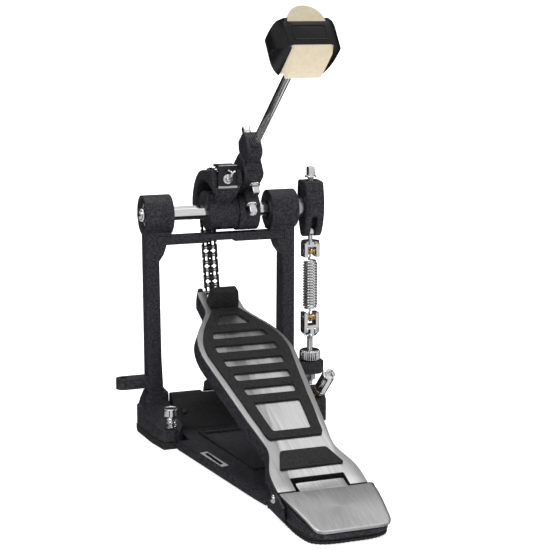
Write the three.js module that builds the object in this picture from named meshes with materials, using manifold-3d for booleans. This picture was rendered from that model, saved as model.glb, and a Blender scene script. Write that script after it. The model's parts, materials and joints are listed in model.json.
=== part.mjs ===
// Bass drum pedal: base, two posts, chain cam on a hex axle, beater, footboard and extension spring.
// Millimetres. X runs to the player's right, Y towards the drum, Z up.
// The origin is on the floor, straight under the middle of the axle.
import * as THREE from "three";
import Module from "manifold-3d";
import { mergeVertices } from "three/addons/utils/BufferGeometryUtils.js";

const wasm = await Module();
wasm.setup();

// ---------- driving dimensions ----------
const AXLE_HEIGHT = 176;
const AXLE_FLATS = 10;
const AXLE_ROLL = -13;
const BEATER_LEAN = 52.9;
const BEATER_X = 22;
const SHAFT_OFFSET = 29;
const SHAFT_RADIUS = 3.2;
const CHAIN_RADIUS = 33.4;
const CHAIN_PITCH = 6.35;
const CHAIN_TILT = 10.8;
const POST_INNER = 52.2;
const POST_OUTER = 62.7;
const POST_DEPTH = 16;
const HOUSING_RADIUS = 15.8;
const HOUSING_INNER = 41.3;
const HOUSING_OUTER = 64;
const ROCKER_X = 79.5;
const LINK_PIN_DROP = 20;
const HINGE_Y = -232;
const HINGE_Z = 15.8;
const BOARD_PITCH = 19.7;
const BOARD_ORIGIN_Y = -230.4;
const BOARD_ORIGIN_Z = 20.6;
const BOARD_THICK = 10;
const PAD_THICK = 1.6;
const RUBBER_TOP = 5.4;
const BASE_TOP = 7;
const GAP = 0.15;

// ---------- finishes ----------
const CASTING = { color: 0x2a2a2d, roughness: 0.62, metalness: 0.3 };
const STEEL_PLATE = { color: 0x1e1e20, roughness: 0.55, metalness: 0.4 };
const CHROME = { color: 0xd8d8da, roughness: 0.12, metalness: 1 };
const STEEL = { color: 0xa9a9ab, roughness: 0.3, metalness: 1 };
const ALUMINIUM = { color: 0xb4b4b6, roughness: 0.38, metalness: 1 };
const BLACK_STEEL = { color: 0x232325, roughness: 0.32, metalness: 0.8 };
const BRASS = { color: 0xb88a4a, roughness: 0.3, metalness: 1 };
const PAD = { color: 0x232324, roughness: 0.85, metalness: 0 };
const RUBBER = { color: 0x161617, roughness: 0.75, metalness: 0 };
const GLOSS_PLASTIC = { color: 0x101113, roughness: 0.2, metalness: 0 };
const FELT = { color: 0xe4d8bd, roughness: 0.95, metalness: 0 };

const rad = THREE.MathUtils.degToRad;
const group = new THREE.Group();
group.name = "bass_drum_pedal";

// ---------- helpers ----------
function solid(geometry) {
  const plain = geometry.clone();
  plain.deleteAttribute("normal");
  plain.deleteAttribute("uv");
  const merged = mergeVertices(plain, 1e-4);
  const index = merged.index.array;
  const triangles = [];
  for (let i = 0; i < index.length; i += 3) {
    const [a, b, c] = [index[i], index[i + 1], index[i + 2]];
    if (a !== b && b !== c && a !== c) triangles.push(a, b, c);
  }
  return new wasm.Manifold(new wasm.Mesh({
    numProp: 3,
    vertProperties: Float32Array.from(merged.attributes.position.array),
    triVerts: Uint32Array.from(triangles),
  }));
}

function add(name, body, finish) {
  const mesh = body.getMesh();
  const geometry = new THREE.BufferGeometry();
  geometry.setAttribute("position", new THREE.BufferAttribute(Float32Array.from(mesh.vertProperties), 3));
  geometry.setIndex(new THREE.BufferAttribute(Uint32Array.from(mesh.triVerts), 1));
  const object = new THREE.Mesh(geometry, new THREE.MeshStandardMaterial(finish));
  object.name = name;
  group.add(object);
}

function box(x0, x1, y0, y1, z0, z1) {
  const geometry = new THREE.BoxGeometry(x1 - x0, y1 - y0, z1 - z0);
  geometry.translate((x0 + x1) / 2, (y0 + y1) / 2, (z0 + z1) / 2);
  return solid(geometry);
}

function turn(geometry, axis) {
  if (axis === "x") geometry.rotateZ(-Math.PI / 2);
  if (axis === "z") geometry.rotateX(Math.PI / 2);
  return geometry;
}

// Cylinder or prism on an axis, from a to b along it; u and v are the other two coordinates of its centre.
function rod(axis, radius, a, b, u, v, sides = 24, spin = 0) {
  const geometry = new THREE.CylinderGeometry(radius, radius, b - a, sides);
  geometry.rotateY(spin);
  turn(geometry, axis);
  const middle = (a + b) / 2;
  if (axis === "x") geometry.translate(middle, u, v);
  if (axis === "y") geometry.translate(u, middle, v);
  if (axis === "z") geometry.translate(u, v, middle);
  return solid(geometry);
}

// Turned piece about Z: profile of [radius, height] pairs, closed on the axis.
function turned(profile, x, y, z, sides = 24) {
  const geometry = new THREE.LatheGeometry(profile.map(([r, h]) => new THREE.Vector2(r, h)), sides);
  geometry.rotateX(Math.PI / 2);
  geometry.translate(x, y, z);
  return solid(geometry);
}

function plate(points, bevel, depth) {
  const shape = new THREE.Shape(points.map(([a, b]) => new THREE.Vector2(a, b)));
  if (bevel === 0) return new THREE.ExtrudeGeometry(shape, { depth, bevelEnabled: false });
  const geometry = new THREE.ExtrudeGeometry(shape, {
    depth: depth - 2 * bevel,
    bevelEnabled: true,
    bevelThickness: bevel,
    bevelSize: bevel,
    bevelOffset: -bevel,
    bevelSegments: 1,
  });
  geometry.translate(0, 0, bevel);
  return geometry;
}

// Outline in X and Y, from z0 up to z1.
function slab(points, z0, z1, bevel = 0) {
  const geometry = plate(points, bevel, z1 - z0);
  geometry.translate(0, 0, z0);
  return solid(geometry);
}

// Outline in Y and Z, from x0 across to x1.
function side(points, x0, x1, bevel = 0) {
  const geometry = plate(points, bevel, x1 - x0);
  geometry.applyMatrix4(new THREE.Matrix4().makeBasis(
    new THREE.Vector3(0, 1, 0), new THREE.Vector3(0, 0, 1), new THREE.Vector3(1, 0, 0)));
  geometry.translate(x0, 0, 0);
  return solid(geometry);
}

// Outline in X and Z, from y0 back to y1.
function front(points, y0, y1, bevel = 0) {
  const geometry = plate(points, bevel, y1 - y0);
  geometry.rotateX(Math.PI / 2);
  geometry.translate(0, y1, 0);
  return solid(geometry);
}

function smooth(points, count) {
  const knots = points.map(([a, b]) => new THREE.Vector3(a, b, 0));
  const curve = new THREE.CatmullRomCurve3(knots, false, "centripetal");
  return curve.getPoints(count).map((p) => [p.x, p.y]);
}

function ring(radius, count, from = 0, to = 360) {
  const points = [];
  const full = to - from === 360;
  for (let i = 0; i < count + (full ? 0 : 1); i += 1) {
    const angle = rad(from + ((to - from) * i) / count);
    points.push([radius * Math.cos(angle), radius * Math.sin(angle)]);
  }
  return points;
}

function union(pieces) {
  return pieces.reduce((sum, piece) => sum.add(piece));
}

function cut(body, pieces) {
  return pieces.reduce((left, piece) => left.subtract(piece), body);
}

const mirror = (body) => body.mirror([1, 0, 0]);
const onAxle = (body) => body.translate([0, 0, AXLE_HEIGHT]);
const onBeater = (body) => onAxle(body.rotate([BEATER_LEAN, 0, 0]));
const onBoard = (body) => body.rotate([BOARD_PITCH, 0, 0]).translate([0, BOARD_ORIGIN_Y, BOARD_ORIGIN_Z]);

// Both sides of a symmetric outline given as [along, half width], as [x, along] points.
function bothSides(pairs) {
  const right = pairs.map(([along, half]) => [half, along]);
  const left = pairs.map(([along, half]) => [-half, along]).reverse();
  return right.concat(left);
}

function hexBore(x0, x1) {
  return onAxle(rod("x", (AXLE_FLATS / 2 + GAP) / Math.cos(Math.PI / 6), x0, x1, 0, 0, 6, rad(AXLE_ROLL)));
}

// Square-headed drum-key bolt standing on its flange at height 0, shank downwards.
function keyBolt(shank, length) {
  return union([
    box(-2.95, 2.95, -2.95, 2.95, 1.2, 8.6),
    turned([[0, -length], [shank, -length], [shank, 0], [5, 0], [5, 1], [4.2, 1.7], [0, 1.7]], 0, 0, 0, 24),
  ]);
}

// ---------- base ----------
const baseHalf = [
  [-206, 32.4], [-189, 36], [-120, 47.4], [-68.6, 56], [-62.8, 56], [-62.8, 45.6], [34, 45.6], [38, 41],
];
const base = slab(bothSides(baseHalf), 1.2, BASE_TOP, 0.6);
const ribs = [];
for (const s of [-1, 1]) {
  const inner = [[30.8, -50], [33.8, -50], [21.2, -148], [18.2, -148]];
  const outer = [[53.8, -66], [55.4, -66], [46.8, -120], [35.7, -187], [34.1, -187], [45.2, -120]];
  for (const outline of [inner, outer]) {
    const points = outline.map(([x, y]) => [s * x, y]);
    ribs.push(slab(s > 0 ? points.reverse() : points, BASE_TOP - 0.5, BASE_TOP + 1.6));
  }
}
ribs.push(box(-30, 30, -53, -50, BASE_TOP - 0.5, BASE_TOP + 1.6));
ribs.push(box(-19.5, 19.5, -148, -145, BASE_TOP - 0.5, BASE_TOP + 1.6));
add("base_plate", union([base, ...ribs]), STEEL_PLATE);

add("base_badge", slab([
  [-47.9, -99.5], [-41.2, -97.8], [-35.6, -133.8], [-41.9, -135.2],
], BASE_TOP + 0.05, BASE_TOP + 0.9, 0.2), CHROME);

// Sloping bridge between the two feet, with a round screw head near each end.
const bridgeFloor = BASE_TOP + 0.1;
const bridge = side([[-36, bridgeFloor], [-6, bridgeFloor], [-6, 30], [-14, 30]], -45.8, 45.8, 0.6);
const bridgeLean = THREE.MathUtils.radToDeg(Math.atan2(22, 23));
const onBridge = (body, x, lift) =>
  body.translate([0, 0, lift]).rotate([bridgeLean, 0, 0]).translate([x, -25.2, 18.6]);
const bridgeScrew = turned([[0, -4], [1.6, -4], [1.6, 0], [2.4, 0], [1.8, 1.1], [0, 1.4]], 0, 0, 0, 16);
const bridgeHole = rod("z", 2, -5, 0.5, 0, 0, 16);
const jawRelief = box(-19, 19, -13.2, -5, 24.5, 31);
const bridgeCuts = [onBridge(bridgeHole, -38, 0), onBridge(bridgeHole, 38, 0), jawRelief];
add("base_bridge", cut(bridge, bridgeCuts), CASTING);
add("bridge_screw_left", onBridge(bridgeScrew, -38, 0.25), STEEL_PLATE);
add("bridge_screw_right", onBridge(bridgeScrew, 38, 0.25), STEEL_PLATE);

// ---------- posts with bearing housings and feet ----------
function footOutline(inset) {
  return [
    [-46.6 - inset, -50], [-51.8 - inset, -60.8 + inset], [-65 + inset, -60.8 + inset], [-69.4 + inset, -40],
    [-72.4 + inset, -8], [-71 + inset, 1], [-66 + inset, 10], [-62 + inset, 20 - inset],
    [-46.6 - inset, 20 - inset],
  ];
}

const spurAt = { x: -57.2, y: -53.3 };
function post(knobBoss) {
  const half = POST_DEPTH / 2;
  const column = front([
    [-POST_OUTER, RUBBER_TOP + 0.1], [-50, RUBBER_TOP + 0.1], [-50.4, 32], [-51.6, 60], [-POST_INNER, 100],
    [-POST_INNER, 139], [-48.6, 144], [-46.2, 151], [-46, 160], [-POST_INNER, 170], [-POST_OUTER, 170],
  ], -half, half, 0.8);
  const housing = onAxle(rod("x", HOUSING_RADIUS, -HOUSING_OUTER, -HOUSING_INNER, 0, 0, 40));
  const ledge = box(-51, -HOUSING_INNER - 0.4, -half + 0.6, half - 0.6, 159.4, 166);
  const plan = slab(footOutline(0), RUBBER_TOP + 0.1, 40, 0.6);
  const profile = side([
    [-63, 0], [-63, 14.6], [-28, 17.5], [-9, 24], [-8, 31], [8, 31], [10, 24], [18, 17], [24, 14], [24, 0],
  ], -80, -40);
  const shoulder = front([
    [-80, 0], [-80, 19.6], [-67.6, 20.4], [-65.6, 24], [-63.2, 31], [-40, 31], [-40, 0],
  ], -70, 40);
  const foot = plan.intersect(profile).intersect(shoulder);
  let body = union([column, housing, ledge, foot]);
  if (knobBoss) {
    const boss = side([
      [-46.6, RUBBER_TOP + 0.1], [-46.6, 23.7], [-37.9, 33.1], [-33, 33], [-22, 18], [-22, RUBBER_TOP + 0.1],
    ], -76.4, -60.4, 0.8);
    body = body.add(boss);
  }
  const bearingSeat = onAxle(rod("x", 11.1, -HOUSING_OUTER - 1, -54.6, 0, 0, 28));
  const mouth = onAxle(rod("x", 12.4, -HOUSING_OUTER - 1, -61.4, 0, 0, 28));
  const through = onAxle(rod("x", 6.6, -HOUSING_OUTER - 1, -HOUSING_INNER + 1, 0, 0, 20));
  const braceNotch = box(-54, -40, -half - 1, 2.2, 151.8, 159.4);
  const spurHole = rod("z", 4.35, -1, 40, spurAt.x, spurAt.y, 24);
  return cut(body, [bearingSeat, mouth, through, braceNotch, spurHole]);
}
const lug = cut(
  union([box(-82, -62, -6, 6, 35.2, 44), rod("z", 6, 35.2, 44, -82, 0, 28)]),
  [rod("z", 3.4, 30, 50, -81.5, 0, 6)]);
add("post_left", post(false).add(lug), CASTING);
const knobAxis = { x: 71.2, y: -42, z: 28.7, tilt: 42.7 };
const onKnob = (body) =>
  body.rotate([90 - knobAxis.tilt, 0, 0]).translate([knobAxis.x, knobAxis.y, knobAxis.z]);
const knobHole = onKnob(rod("z", 2.4, -16, 12, 0, 0, 20));
add("post_right", mirror(post(true)).subtract(knobHole), CASTING);

// Rubber under both feet, joined by a thin strip under the base plate.
const footPad = slab(footOutline(-0.6), 0, RUBBER_TOP, 0.5)
  .subtract(rod("z", 4.35, -1, 9, spurAt.x, spurAt.y, 24))
  .intersect(box(-90, -46.8, -80, 40, -1, 20));
add("foot_pad", union([footPad, mirror(footPad), box(-47.4, 47.4, -18, 18, 0, 1.1)]), RUBBER);

// Upper cross brace, let into the front of both posts, with a shallow relief for the chain.
const braceRelief = box(-13, 11, -9, 3, 151, 153.6);
add("cross_brace", box(-53.8, 53.8, -8.3, 2, 152, 159.2).subtract(braceRelief), STEEL_PLATE);

// ---------- spurs, hoop clamp ----------
function spur() {
  const grooves = [];
  for (let i = 0; i < 9; i += 1) {
    const angle = (2 * Math.PI * i) / 9;
    const [x, y] = [spurAt.x + 6.3 * Math.cos(angle), spurAt.y + 6.3 * Math.sin(angle)];
    grooves.push(rod("z", 0.6, 20, 34, x, y, 5));
  }
  const turnedPart = turned([
    [0, 2.2], [1.2, 2.2], [4.1, 7], [4.1, 21.8], [5.4, 21.8], [6.1, 22.6], [6.1, 30.2],
    [5.3, 31.2], [0, 31.4],
  ], spurAt.x, spurAt.y, 0, 20);
  return cut(turnedPart, grooves);
}
add("spur_left", spur(), CHROME);
add("spur_right", mirror(spur()), CHROME);

const CLAMP_X = 6;
const jawPivot = { y: -9.2, z: 27.4 };
add("clamp_jaw", cut(side([
  [-12.6, 25.6], [-6, 24.8], [6, 26], [25, 21.5], [31, 14.5], [33, 16.5], [29, 27],
  [10, 36], [-4, 38.5], [-12, 35],
], -5.6, 17.6, 0.8), [
  rod("z", 3.4, 10, 50, CLAMP_X, 4, 20),
  rod("x", 2.1, -20, 20, jawPivot.y, jawPivot.z, 16),
]), CASTING);
add("clamp_jaw_pin", rod("x", 1.9, -18.8, 18.8, jawPivot.y, jawPivot.z, 16), STEEL);
add("clamp_screw", turned([
  [0, BASE_TOP + 0.2], [4.6, BASE_TOP + 0.2], [4.6, 10], [3, 10], [3, 38.9],
  [6, 38.9], [6, 40], [5, 42.4], [0, 42.8],
], CLAMP_X, 4, 0, 20), CHROME);

const knobFlutes = [];
for (let i = 0; i < 8; i += 1) {
  const angle = (2 * Math.PI * i) / 8;
  knobFlutes.push(rod("z", 1.1, 9.5, 28, 5.7 * Math.cos(angle), 5.7 * Math.sin(angle), 8));
}
add("clamp_knob", onKnob(cut(turned([
  [0, -12], [2.1, -12], [2.1, 4.2], [5, 4.2], [5.4, 5], [5.4, 30], [4.4, 31], [0, 31.2],
], 0, 0, 0, 24), knobFlutes)), CHROME);
const knobRing = rod("z", 4.9, 1.2, 4, 0, 0, 24).subtract(rod("z", 2.4, 0, 5, 0, 0, 20));
add("clamp_knob_ring", onKnob(knobRing), BRASS);

// ---------- axle and bearings ----------
for (const [name, s] of [["bearing_left", -1], ["bearing_right", 1]]) {
  const outerRing = cut(onAxle(rod("x", 11, -61.2, -54.8, 0, 0, 28)), [
    onAxle(rod("x", 5.95, -70, -50, 0, 0, 28)),
    onAxle(cut(rod("x", 9.4, -62, -60.6, 0, 0, 24), [rod("x", 7.3, -63, -60, 0, 0, 24)])),
  ]);
  add(name, s < 0 ? outerRing : mirror(outerRing), STEEL);
}
const axleCorner = AXLE_FLATS / 2 / Math.cos(Math.PI / 6);
add("hex_axle", onAxle(rod("x", axleCorner, -61, 88.4, 0, 0, 6, rad(AXLE_ROLL))), CHROME);
add("axle_end_cap", turned([
  [0, 61.2], [5.6, 61.2], [5.6, 63.4], [5.2, 65], [4.2, 66.4], [2.4, 67.4], [0, 67.8],
], 0, 0, 0, 28).rotate([0, -90, 0]).translate([0, 0, AXLE_HEIGHT]), CHROME);
add("axle_spacer", onAxle(cut(rod("x", 8.2, 62.4, 71.2, 0, 0, 32), [rod("x", 6, 60, 73, 0, 0, 24)])), STEEL);

// ---------- cam ----------
const flangeOutline = smooth([
  [14, -6], [24, -3.5], [33.6, 1.5], [33.2, 8], [30.5, 15], [26, 22], [19, 28.2], [10, 32.5],
  [0, 34], [-10, 34.4], [-21.6, 35.4], [-22.2, 21.8], [-19, 14], [-13.4, 8.4], [-8, 3],
], 20);
const trackOutline = smooth([
  [14, -5], [24, -5.5], [29.8, -3], [29.9, 4], [27.6, 12], [23.2, 19.2], [16, 25.6], [8, 29],
  [0, 30.2], [-9, 30], [-21.4, 30], [-22, 21.8], [-18.8, 14], [-13.2, 8.4], [-8, 3],
], 18);
const camWindow = side(smooth([
  [-13, 12.6], [-8, 15.6], [0, 16.9], [8, 15.2], [13.5, 10.5], [16.3, 4.4], [17, 1.6], [20.6, 2], [22.6, 6],
  [22.6, 12], [19.5, 18.8], [12, 23.8], [4, 25.8], [-6, 25.6], [-12.5, 23.8], [-16.4, 19.4], [-15.6, 15],
], 22), -20, 20);
// The neck under the chain plate narrows down to the round hub.
const neckLeft = front([[-20, 25], [-12.6, 25], [-7.2, 12], [-7.2, -10], [-20, -10]], -30, -9);
const neckRight = front([[20, -10], [5.8, -10], [5.8, 9], [12.6, 25], [20, 25]], -30, -9);
const camBody = union([
  cut(union([
    side(flangeOutline, -12.5, -8.2),
    side(flangeOutline, 8.2, 12.5),
    side(trackOutline, -9, 9),
  ]), [neckLeft, neckRight]),
  rod("x", 14.8, -11, 13, 0, 0, 28),
]);
const setScrewHole = (x) => rod("z", 2.2, -20, -8, 0, 0, 10).rotate([-30, 0, 0]).translate([x, 0, 0]);
const plateBoltHole = rod("y", 2.35, -30, -10, 0, 29, 10);
const camCuts = [camWindow, setScrewHole(-3), setScrewHole(7), plateBoltHole];
add("chain_cam", onAxle(cut(camBody, camCuts)).subtract(hexBore(-20, 20)), CASTING);
[["cam_set_screw_a", -3], ["cam_set_screw_b", 7]].forEach(([name, x]) => {
  const screw = cut(rod("z", 2, -14.2, -8.6, 0, 0, 16), [rod("z", 1.1, -16, -12.6, 0, 0, 6)]);
  add(name, onAxle(screw.rotate([-30, 0, 0]).translate([x, 0, 0])), BLACK_STEEL);
});
const boltWings = [90, 210, 330].map((angle) =>
  box(-1.3, 1.3, -29.6, -25.4, 0, 5.2).rotate([0, angle - 90, 0]).translate([0, 0, 29]));
add("chain_plate_bolt", onAxle(union([
  rod("y", 2.1, -25.6, -12, 0, 29, 16), rod("y", 3.2, -28.6, -24.9, 0, 29, 20), ...boltWings,
])), CHROME);
add("chain_plate", onAxle(cut(union([
  box(-8, 8, -24.6, -22.6, 21.6, 39.6),
  box(-7.6, 7.6, -24.6, -10, 38, 39.6),
]), [rod("y", 2.3, -30, -20, 0, 29, 16)])), STEEL);

// ---------- roller chain, two strands ----------
function linkPlate(pitch, x0, x1) {
  const outline = [];
  for (const [start, from] of [[0, 135], [pitch, -45]]) {
    for (let i = 0; i <= 1; i += 1) {
      const angle = rad(from + 90 * i);
      outline.push([start + 3.1 * Math.cos(angle), 3.1 * Math.sin(angle)]);
    }
  }
  return side(outline, x0, x1);
}

// joints: list of [y, z] pin centres along the chain.
function chain(joints) {
  const pieces = [];
  joints.forEach(([y, z], i) => {
    pieces.push(rod("x", 1.65, -6.9, 6.9, y, z, 5));
    if (i === joints.length - 1) return;
    const [y2, z2] = joints[i + 1];
    const pitch = Math.hypot(y2 - y, z2 - z);
    const angle = THREE.MathUtils.radToDeg(Math.atan2(z2 - z, y2 - y));
    const inner = i % 2 === 0;
    const at = inner ? [[-5.3, -1.0], [1.0, 5.3]] : [[-6.3, -5.4], [-0.9, 0.9], [5.4, 6.3]];
    for (const [x0, x1] of at) {
      pieces.push(linkPlate(pitch, x0, x1).rotate([angle, 0, 0]).translate([0, y, z]));
    }
  });
  return wasm.Manifold.union(pieces);
}
const wrapJoints = [];
const step = THREE.MathUtils.radToDeg(2 * Math.asin(CHAIN_PITCH / 2 / CHAIN_RADIUS));
for (let i = 0; i < 11; i += 1) {
  const angle = rad(-CHAIN_TILT + 3 + step * i);
  wrapJoints.push([CHAIN_RADIUS * Math.cos(angle), CHAIN_RADIUS * Math.sin(angle)]);
}
const lift = (joints) => joints.map(([y, z]) => [y, z + AXLE_HEIGHT]);
add("chain_wrap", chain(lift(wrapJoints)), BLACK_STEEL);

const spanStart = [
  CHAIN_RADIUS * Math.cos(rad(CHAIN_TILT)) - 9 * Math.sin(rad(CHAIN_TILT)),
  AXLE_HEIGHT - CHAIN_RADIUS * Math.sin(rad(CHAIN_TILT)) - 9 * Math.cos(rad(CHAIN_TILT)),
];
const spanJoints = [];
for (let i = 0; i < 10; i += 1) {
  spanJoints.push([
    spanStart[0] - i * CHAIN_PITCH * Math.sin(rad(CHAIN_TILT)),
    spanStart[1] - i * CHAIN_PITCH * Math.cos(rad(CHAIN_TILT)),
  ]);
}
const [anchorY, anchorZ] = spanJoints[spanJoints.length - 1];
add("chain_span", chain(spanJoints).add(rod("x", 1.6, -9.9, 9.9, anchorY, anchorZ, 16)), BLACK_STEEL);

// ---------- beater ----------
const arm = union([
  side([[8.4, 6], [8.4, 37], [11, 40.5], [24, 40.5], [33, 35], [33.4, 22], [32, 10], [18, -2]], 14, 30, 0.8),
  side([
    [13, 35], [13, 41], [19.5, 42], [21, 51], [25, 54], [37, 54], [42.5, 51], [43.6, 47],
    [43.6, 36], [38, 32.5], [20, 32.5],
  ], BEATER_X - 6.2, BEATER_X + 6.2, 0.8),
  box(17.8, 27, -4.4, 8, 6, 21),
]);
const hub = rod("x", 16, 13.4, 30.4, 0, 0, 40);
const shaftBore = rod("z", SHAFT_RADIUS + 0.15, -10, 70, BEATER_X, SHAFT_OFFSET, 24);
const clampBore = rod("y", 2.75, 31, 60, BEATER_X, 43, 20);
const hubBoltHoles = [
  rod("y", 2.45, -10, 4, 22.4, 16.6, 16),
  rod("y", 5.4, -30, -4.5, 22.4, 16.6, 24),
  rod("y", 2.45, -4, 22, 24.7, 26.3, 16),
];
const hubSolid = cut(union([arm, hub]), [shaftBore, clampBore, ...hubBoltHoles]);
add("beater_hub", onBeater(hubSolid).subtract(hexBore(10, 35)), CASTING);

const clampBolt = keyBolt(2.6, 10.6).rotate([-90, 0, 0]).translate([BEATER_X, 43.8, 43]);
add("beater_key_bolt", onBeater(clampBolt), CHROME);
add("hub_bolt_lower", onBeater(keyBolt(2.3, 7).rotate([90, 0, 0]).translate([22.4, -4.5, 16.6])), CHROME);
add("hub_bolt_upper", onBeater(keyBolt(2.3, 12).rotate([90, 0, 0]).translate([24.7, 8.3, 26.3])), CHROME);

add("beater_shaft", onBeater(rod("z", SHAFT_RADIUS, 16, 180, BEATER_X, SHAFT_OFFSET, 28)), STEEL);

const headBottom = 168.4;
const headTop = 203.5;
const headOutline = smooth([
  [16.5, headTop], [21.4, 199.4], [25, 194], [26.3, 188], [25.3, 181.6], [21.4, 174.6], [17, 170.4],
  [12, headBottom],
], 18);
const headPoints = headOutline.concat(headOutline.map(([x, z]) => [-x, z]).reverse());
const crown = rod("z", 28.6, headBottom - 2, headTop + 2, 0, 0, 48).scale([1, 0.6, 1]);
const crownBlock = box(-18, 18, -11.5, 11.5, headBottom - 2, headTop + 2);
const feltBay = box(-16, 16, -20, -11.5, headBottom - 3, headTop + 3);
const headBlock = front(headPoints, -14.4, 11.5).intersect(union([crown.subtract(feltBay), crownBlock]));

// What stands inside the felt: a core, a collar where the shaft goes in, and the lid over it.
function headFrame(g) {
  return union([
    box(-11.4 - g, 11.4 + g, -8.4 - g, 8.4 + g, headBottom + 4 - g, headTop - 2),
    rod("z", 5.4 + g, headBottom - 0.4, headBottom + 6, 0, 0, 24),
    box(-17.2, 17.2, -11.2 - g, 8.4 + g, headTop - 3.2 - g, headTop + (g > 0 ? 1 : 0)),
  ]);
}

// Felt block: a half-round striking face towards the drum and a sloping face towards the player.
function feltBlock(g) {
  const top = headTop - 0.2 + (g > 0 ? 1 : 0);
  const bottom = headBottom + 0.6 - (g > 0 ? 2 : 0);
  const round = rod("z", 14.4 + g, bottom, top, 0, 8, 40).intersect(box(-20, 20, 7.9, 40, 100, 250));
  const backRise = side([
    [-11.4, top], [-7, top], [-7, bottom], [-12, headBottom - 0.4], [-17.4, 171], [-20, 176], [-19.6, 186],
    [-16.4, 196],
  ], -15.7, 15.7);
  const backPlan = slab([
    [-15.7, -5], [-15.7, -15.4], [-12.6, -20.4], [12.6, -20.4], [15.7, -15.4], [15.7, -5],
  ], 150, 220);
  const backFace = front([
    [-15.7, 215], [-15.7, 177.5], [-11.5, bottom], [11.5, bottom], [15.7, 177.5], [15.7, 215],
  ], -40, 5);
  const back = backRise.intersect(backPlan).intersect(backFace);
  const middle = box(-14.4 - g, 14.4 + g, -12, 8.5, bottom, top);
  return union([back.intersect(box(-20, 20, -40, -11.6, 100, 250)), middle, round]);
}
const boreInHead = rod("z", SHAFT_RADIUS + 0.12, headBottom - 5, 180.4, 0, 0, 24);
const toBeaterX = (body) => body.translate([BEATER_X, SHAFT_OFFSET, 0]);
add("beater_felt", onBeater(toBeaterX(cut(feltBlock(0), [headFrame(0.1)]))), FELT);
const headBody = union([headBlock.subtract(feltBlock(0.1)), headFrame(0)]);
add("beater_head_body", onBeater(toBeaterX(headBody.subtract(boreInHead))), GLOSS_PLASTIC);

// ---------- spring rocker ----------
const rockerOutline = smooth([
  [-7.6, 21.8], [8.6, 21.8], [10, 18], [10.4, 4], [8.6, -8], [5, -19], [2, -24], [-3.6, -24],
  [-7.4, -19], [-11.4, -7], [-12.2, 3], [-11, 13], [-9, 20.6], [-7.6, 21.8],
], 28).slice(0, -1);
const rockerSlot = union([
  box(ROCKER_X - 2.6, ROCKER_X + 2.6, -20, 20, -30, -9),
  rod("y", 2.6, -20, 20, ROCKER_X, -9, 20),
]);
const rockerBody = cut(side(rockerOutline, ROCKER_X - 8, ROCKER_X + 8, 0.8), [
  rockerSlot,
  rod("z", 2.75, 9, 30, ROCKER_X, 0, 20),
  rod("x", 2.0, 60, 100, 0, -LINK_PIN_DROP, 20),
  box(ROCKER_X - 9, ROCKER_X - 6.4, 2, 7.4, 8.4, 17),
]);
add("spring_rocker", onAxle(rockerBody).subtract(hexBore(65, 90)), CASTING);
add("rocker_key_bolt", onAxle(keyBolt(2.6, 15.6).translate([ROCKER_X, 0, 24.6])), CHROME);
add("rocker_pin", onAxle(rod("x", 1.85, ROCKER_X - 7.8, ROCKER_X + 7.8, 0, -LINK_PIN_DROP, 20)), STEEL);

// ---------- spring and its two swivels ----------
const pinZ = AXLE_HEIGHT - LINK_PIN_DROP;
const upperRollerZ = 139.4;
const lowerRollerZ = 82.6;
add("upper_eye", cut(union([
  rod("x", 4.2, ROCKER_X - 2, ROCKER_X + 2, 0, pinZ, 24),
  rod("z", 1.9, 144, pinZ - 2.4, ROCKER_X, 0, 16),
  turned([[0, 143.2], [3.2, 143.2], [3.2, 144.6], [0, 144.6]], ROCKER_X, 0, 0, 20),
]), [rod("x", 2.05, 60, 100, 0, pinZ, 20)]), CHROME);

function clevis(bottom, height, opening) {
  const up = opening > 0;
  const body = box(ROCKER_X - 6.7, ROCKER_X + 6.7, -5, 5, bottom, bottom + height);
  const gapBox = up
    ? box(ROCKER_X - 3.6, ROCKER_X + 3.6, -9, 9, bottom + 6, bottom + height + 4)
    : box(ROCKER_X - 3.6, ROCKER_X + 3.6, -9, 9, bottom - 4, bottom + height - 3.2);
  return cut(body, [gapBox]);
}
const upperBody = union([
  clevis(134, 12, -1),
  rod("z", 7.6, 145.2, 147.6, ROCKER_X, 0, 32),
]);
add("upper_clevis", cut(upperBody, [
  rod("z", 2.05, 140, 150, ROCKER_X, 0, 20),
  rod("z", 3.35, 140, 144.8, ROCKER_X, 0, 20),
  rod("x", 1.75, 60, 100, 0, upperRollerZ - 1, 16),
]), CHROME);
const lowerBody = union([
  clevis(70, 16.6, 1),
  turned([[0, 66.8], [5.2, 66.8], [7.6, 69.6], [7.8, 73.4], [7, 74.6], [0, 74.6]], ROCKER_X, 0, 0, 32),
]);
add("lower_clevis", cut(lowerBody, [
  box(ROCKER_X - 3.6, ROCKER_X + 3.6, -9, 9, 76, 90),
  rod("x", 1.75, 60, 100, 0, lowerRollerZ, 16),
  rod("z", 2.75, 60, 72, ROCKER_X, 0, 20),
]), CHROME);
for (const [name, z] of [["upper_roller", upperRollerZ - 1], ["lower_roller", lowerRollerZ]]) {
  const rollerBody = turned([
    [0, -3.3], [3.2, -3.3], [3.2, -2.4], [2.3, -1.2], [2.3, 1.2], [3.2, 2.4], [3.2, 3.3], [0, 3.3],
  ], 0, 0, 0, 20).rotate([0, 90, 0]).translate([ROCKER_X, 0, z]);
  add(name, rollerBody.subtract(rod("x", 1.75, 60, 100, 0, z, 16)), BRASS);
  add(name.replace("roller", "pin"), rod("x", 1.6, ROCKER_X - 7.3, ROCKER_X + 7.3, 0, z, 16), CHROME);
}

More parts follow.
